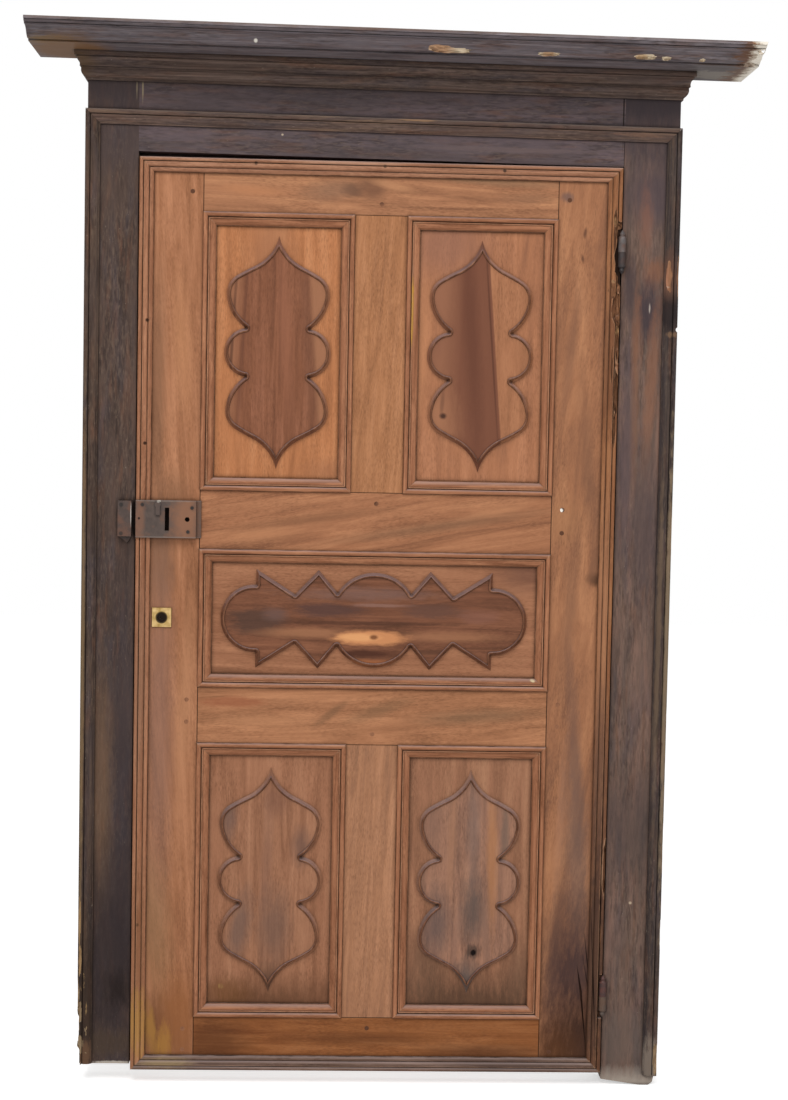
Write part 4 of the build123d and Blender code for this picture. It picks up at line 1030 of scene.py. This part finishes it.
# Pegs: riven walnut pegs driven through the tenons and pared off flush. Most have taken
# the colour of the leaf, a few are dark with wax and one has a spot of white filler.
dark_pegs = (
    (-949, 1871),
    (-552, 1872),
    (-167, 1881),
    (-563, 1242),
    (-163, 1184),
    (-163, 1228),
    (-555, 119),
    (-161, 115),
    (-161, 70),
)
waxed_pegs = tuple((x, z, 16, 16, 0, "#4f3326", 0.85, 0.3, 0.6) for x, z in dark_pegs)
white_filler = (-163.6, 1229, 4, 4, 0, "#eee9df", 0.97, 0.3, 0.6)
# walnut end grain: dull and even, because it drinks the wax
peg_finish = aged_timber(
    "walnut end grain",
    ("#7d5540", "#8f6248", "#a06f52"),
    figure=(4, 4),
    dust_and_sheen=("#a08f88", 0.1),
    crease_dirt_and_shade=("#2a1a12", 0.4, 4),
    marks=(*waxed_pegs, white_filler),
)
dress("joint_pegs", peg_finish)


# Rim lock, keeper and hinges: forged and filed iron, nailed on. It is brown with old
# rust under a rubbed black finish, with bare bright metal only where it is handled, and a
# painted highlight along the keeper's edge and on the nib of the spring stud.
def old_iron(name, dark, pale, rust, rust_share, marks=()):
    """Forged iron: dull, barely metallic under its oxide, with rust in soft patches, and darkened in its
    corners, partly with dirt and partly as painted shade.
    """
    hammer_mark = 14
    rust_patch = 24
    dirt_and_shade_reach = 6
    dirt_and_shade_share = 0.8
    hammer_depth = 0.5
    made, tree, shader, place = new_finish(name)
    scale_marks = put(
        tree, "ShaderNodeTexNoise", {"Vector": place, "Scale": 1 / (hammer_mark * mm), "Detail": 4}
    )
    share = put(
        tree, "ShaderNodeMapRange", {"Value": scale_marks.outputs[0], "From Min": 0.3, "From Max": 0.7}
    )
    colour = tinted(tree, linear(dark), share, pale)
    patches = put(
        tree, "ShaderNodeTexNoise", {"Vector": place, "Scale": 1 / (rust_patch * mm), "Detail": 6}
    )
    share = put(
        tree,
        "ShaderNodeMapRange",
        {"Value": patches.outputs[0], "From Min": 0.62 - rust_share / 2, "From Max": 0.78 - rust_share / 2},
    )
    colour = tinted(tree, colour, share, rust)
    colour = stained(tree, place, scale_marks, colour, marks)
    # corners darkened by ambient occlusion: partly dirt, partly painted shade
    corners = put(tree, "ShaderNodeAmbientOcclusion", {"Distance": dirt_and_shade_reach * mm}, samples=4)
    share = put(
        tree,
        "ShaderNodeMapRange",
        {
            "Value": corners.outputs["AO"],
            "From Min": 0.4,
            "From Max": 0.9,
            "To Min": dirt_and_shade_share,
            "To Max": 0,
        },
    )
    colour = tinted(tree, colour, share, "#0e0907")
    tree.links.new(colour, shader.inputs["Base Color"])
    bump = put(
        tree,
        "ShaderNodeBump",
        {"Strength": 0.3, "Distance": hammer_depth * mm, "Height": scale_marks.outputs[0]},
    )
    tree.links.new(bump.outputs[0], shader.inputs["Normal"])
    shader.inputs["Metallic"].default_value = 0.2
    shader.inputs["Roughness"].default_value = 0.6
    return made


lock_iron = old_iron(
    "forged iron, lock",
    "#40332d",
    "#52433b",
    "#654736",
    rust_share=0.2,
    marks=(
        (-948, 1197, 26, 60, 0, "#875a3e", 0.8, 0.5, 1.0),
        (-1043, 1197, 9, 50, 0, "#7a523b", 0.6, 0.4, 1.0),
        (-990, 1235, 70, 1.8, 0, "#7b6d65", 0.6, 0.4, 1.4),
        (-990, 1159, 70, 1.8, 0, "#75675f", 0.6, 0.4, 1.4),
        # a painted highlight on the nib of the spring stud at the plate's top edge
        (-1004, 1234, 4, 2.6, 0, "#e0d8cc", 0.95, 0.3, 0.6),
        (-1004, 1222, 10, 14, 0, "#4a3b35", 0.6, 0.3, 0.6),
    ),
)
keeper_iron = old_iron(
    "forged iron, keeper",
    "#362a25",
    "#4a3a33",
    "#5a3d2f",
    rust_share=0.3,
    # the pale line is a painted highlight along the keeper's edge
    marks=((-1061.5, 1205, 1.2, 22, 0, "#b9b0a8", 0.8, 0.3, 0.6),),
)
nail_iron = old_iron("forged iron, nails", "#130e0c", "#251b17", "#35241b", rust_share=0.2)
for piece in ("lock_case", "bolt_spring", "spring_stud", "lock_bolt"):
    dress(piece, lock_iron)
dress("lock_keeper", keeper_iron)
for piece in ("lock_nails", "keeper_nails"):
    dress(piece, nail_iron)
for piece, dark, pale, rust in (
    ("upper_hinge_leaf_half", "#4a4443", "#6b6361", "#5a4238"),
    ("upper_hinge_jamb_half", "#1f1a1b", "#352d2c", "#3c2821"),
    ("upper_hinge_pin", "#2f2928", "#4a4140", "#5a3a2c"),
    ("lower_hinge_leaf_half", "#33211f", "#4d3430", "#5f3327"),
    ("lower_hinge_jamb_half", "#453a34", "#5d4e46", "#5a4334"),
    ("lower_hinge_pin", "#2f2928", "#4a4140", "#5a3a2c"),
):
    finish = old_iron("forged iron, " + piece.replace("_", " "), dark, pale, rust, rust_share=0.25)
    dress(piece, finish)


# Escutcheon and cylinder: a small square brass plate and the brass cylinder of a later
# lock, fixed to the stile. Both are brass that was never polished.
# rolled brass: a yellow metal with a broad soft shine, browner where it has tarnished
# dark brass: the same, but nearly black with old grease
tarnish_patch = 12
for piece, name, bright, dull, rim in (
    ("escutcheon", "rolled brass", "#cfb07a", "#9c7d45", "#2b221b"),
    ("lock_cylinder", "dark brass, cylinder", "#3c3028", "#241c18", "#241c18"),
):
    brass, tree, shader, place = new_finish(name)
    tarnish = put(
        tree, "ShaderNodeTexNoise", {"Vector": place, "Scale": 1 / (tarnish_patch * mm), "Detail": 5}
    )
    share = put(
        tree, "ShaderNodeMapRange", {"Value": tarnish.outputs[0], "From Min": 0.35, "From Max": 0.7}
    )
    colour = tinted(tree, linear(bright), share, dull)
    cylinder_rim = (-997, 990.4, 12.6, 12.6, 0, rim, 0.92, 0.08, 0.2)
    colour = stained(tree, place, tarnish, colour, (cylinder_rim,))
    tree.links.new(colour, shader.inputs["Base Color"])
    shader.inputs["Metallic"].default_value = 1.0
    shader.inputs["Roughness"].default_value = 0.38
    dress(piece, brass)


# Studio: a white floor slab, soft light from above the viewer and white all round.
# The camera stands where the picture was taken from, a little to the left and tilted.
# Sizes and places here are in metres, lamp powers in watts.
floor_size = 16
floor_middle = (-0.55, 2.0, 0)
slab_thickness = 0.03
floor_lift = 0.5
bpy.ops.object.select_all(action="DESELECT")
bpy.ops.mesh.primitive_plane_add(size=floor_size, location=floor_middle)
floor = bpy.context.object
floor.name = "studio_floor"
bpy.ops.object.mode_set(mode="EDIT")
bpy.ops.mesh.select_all(action="SELECT")
bpy.ops.mesh.extrude_region_move(TRANSFORM_OT_translate={"value": (0, 0, -slab_thickness)})
bpy.ops.mesh.select_all(action="SELECT")
bpy.ops.mesh.normals_make_consistent(inside=False)
bpy.ops.object.mode_set(mode="OBJECT")
bpy.ops.object.transform_apply(location=True, rotation=True, scale=True)
# white paint: matt, and lifted to white for the eye alone, so that it keeps a shadow
floor_paint = bpy.data.materials.new("white studio floor")
floor_paint.use_nodes = True
tree = floor_paint.node_tree
shader = tree.nodes["Principled BSDF"]
shader.inputs["Base Color"].default_value = linear("#f7f7f7")
shader.inputs["Roughness"].default_value = 0.9
shader.inputs["Specular IOR Level"].default_value = 0.1
path = put(tree, "ShaderNodeLightPath")
lift = put(
    tree,
    "ShaderNodeMath",
    {0: path.outputs["Is Camera Ray"], 1: floor_lift},
    operation="MULTIPLY",
)
glow = put(tree, "ShaderNodeEmission", {"Color": linear("#ffffff"), "Strength": lift.outputs[0]})
both = put(tree, "ShaderNodeAddShader", {0: shader.outputs[0], 1: glow.outputs[0]})
tree.links.new(both.outputs[0], tree.nodes["Material Output"].inputs["Surface"])
floor.data.materials.append(floor_paint)

sky_level = 0.52
world = bpy.data.worlds.new("white studio")
bpy.context.scene.world = world
world.use_nodes = True
tree = world.node_tree
soft_light = tree.nodes["Background"]
soft_light.inputs["Color"].default_value = linear("#ffffff")
soft_light.inputs["Strength"].default_value = sky_level
white = put(tree, "ShaderNodeBackground", {"Color": linear("#ffffff"), "Strength": 1.0})
path = put(tree, "ShaderNodeLightPath")
seen = path.outputs["Is Camera Ray"]
for ray in ("Is Glossy Ray", "Is Transmission Ray"):
    either = {0: seen, 1: path.outputs[ray]}
    seen = put(tree, "ShaderNodeMath", either, operation="MAXIMUM").outputs[0]
both = put(tree, "ShaderNodeMixShader", {0: seen, 1: soft_light.outputs[0], 2: white.outputs[0]})
tree.links.new(both.outputs[0], tree.nodes["World Output"].inputs["Surface"])

leaf_middle = Vector((-0.55, -0.07, 1.05))
for name, place, size, power in (
    ("overhead softbox", (-1.2, -3.6, 5.4), 3.2, 190),
    ("front fill", (0.6, -6.0, 2.2), 3.0, 40),
):
    lamp = bpy.data.lights.new(name, "AREA")
    lamp.size = size
    lamp.energy = power
    softbox = bpy.data.objects.new(name, lamp)
    bpy.context.scene.collection.objects.link(softbox)
    softbox.location = place
    softbox.rotation_euler = (leaf_middle - Vector(place)).to_track_quat("-Z", "Y").to_euler()

# the camera was fitted to the corners of the door, in pixels of the 788 by 1100 picture
focal_pixels = 1871.19
picture_height = 1100
film_height = 36
camera_place = (-0.6589, -3.9843, 1.3760)
pitch, yaw, roll = (math.radians(angle) for angle in (3.4502, 2.1321, 1.099))
ahead = Vector(
    (math.sin(yaw) * math.cos(pitch), math.cos(yaw) * math.cos(pitch), -math.sin(pitch))
)
level = Vector((math.cos(yaw), -math.sin(yaw), 0))
upward = level.cross(ahead)
rightward = level * math.cos(roll) + upward * math.sin(roll)
upward = upward * math.cos(roll) - level * math.sin(roll)
lens = bpy.data.cameras.new("photographer")
lens.sensor_width = film_height
lens.lens = film_height * focal_pixels / picture_height
camera = bpy.data.objects.new("photographer", lens)
bpy.context.scene.collection.objects.link(camera)
turned = Matrix((rightward, upward, -ahead)).transposed().to_4x4()
camera.matrix_world = Matrix.Translation(camera_place) @ turned
bpy.context.scene.camera = camera
bpy.context.scene.view_settings.view_transform = "Standard"
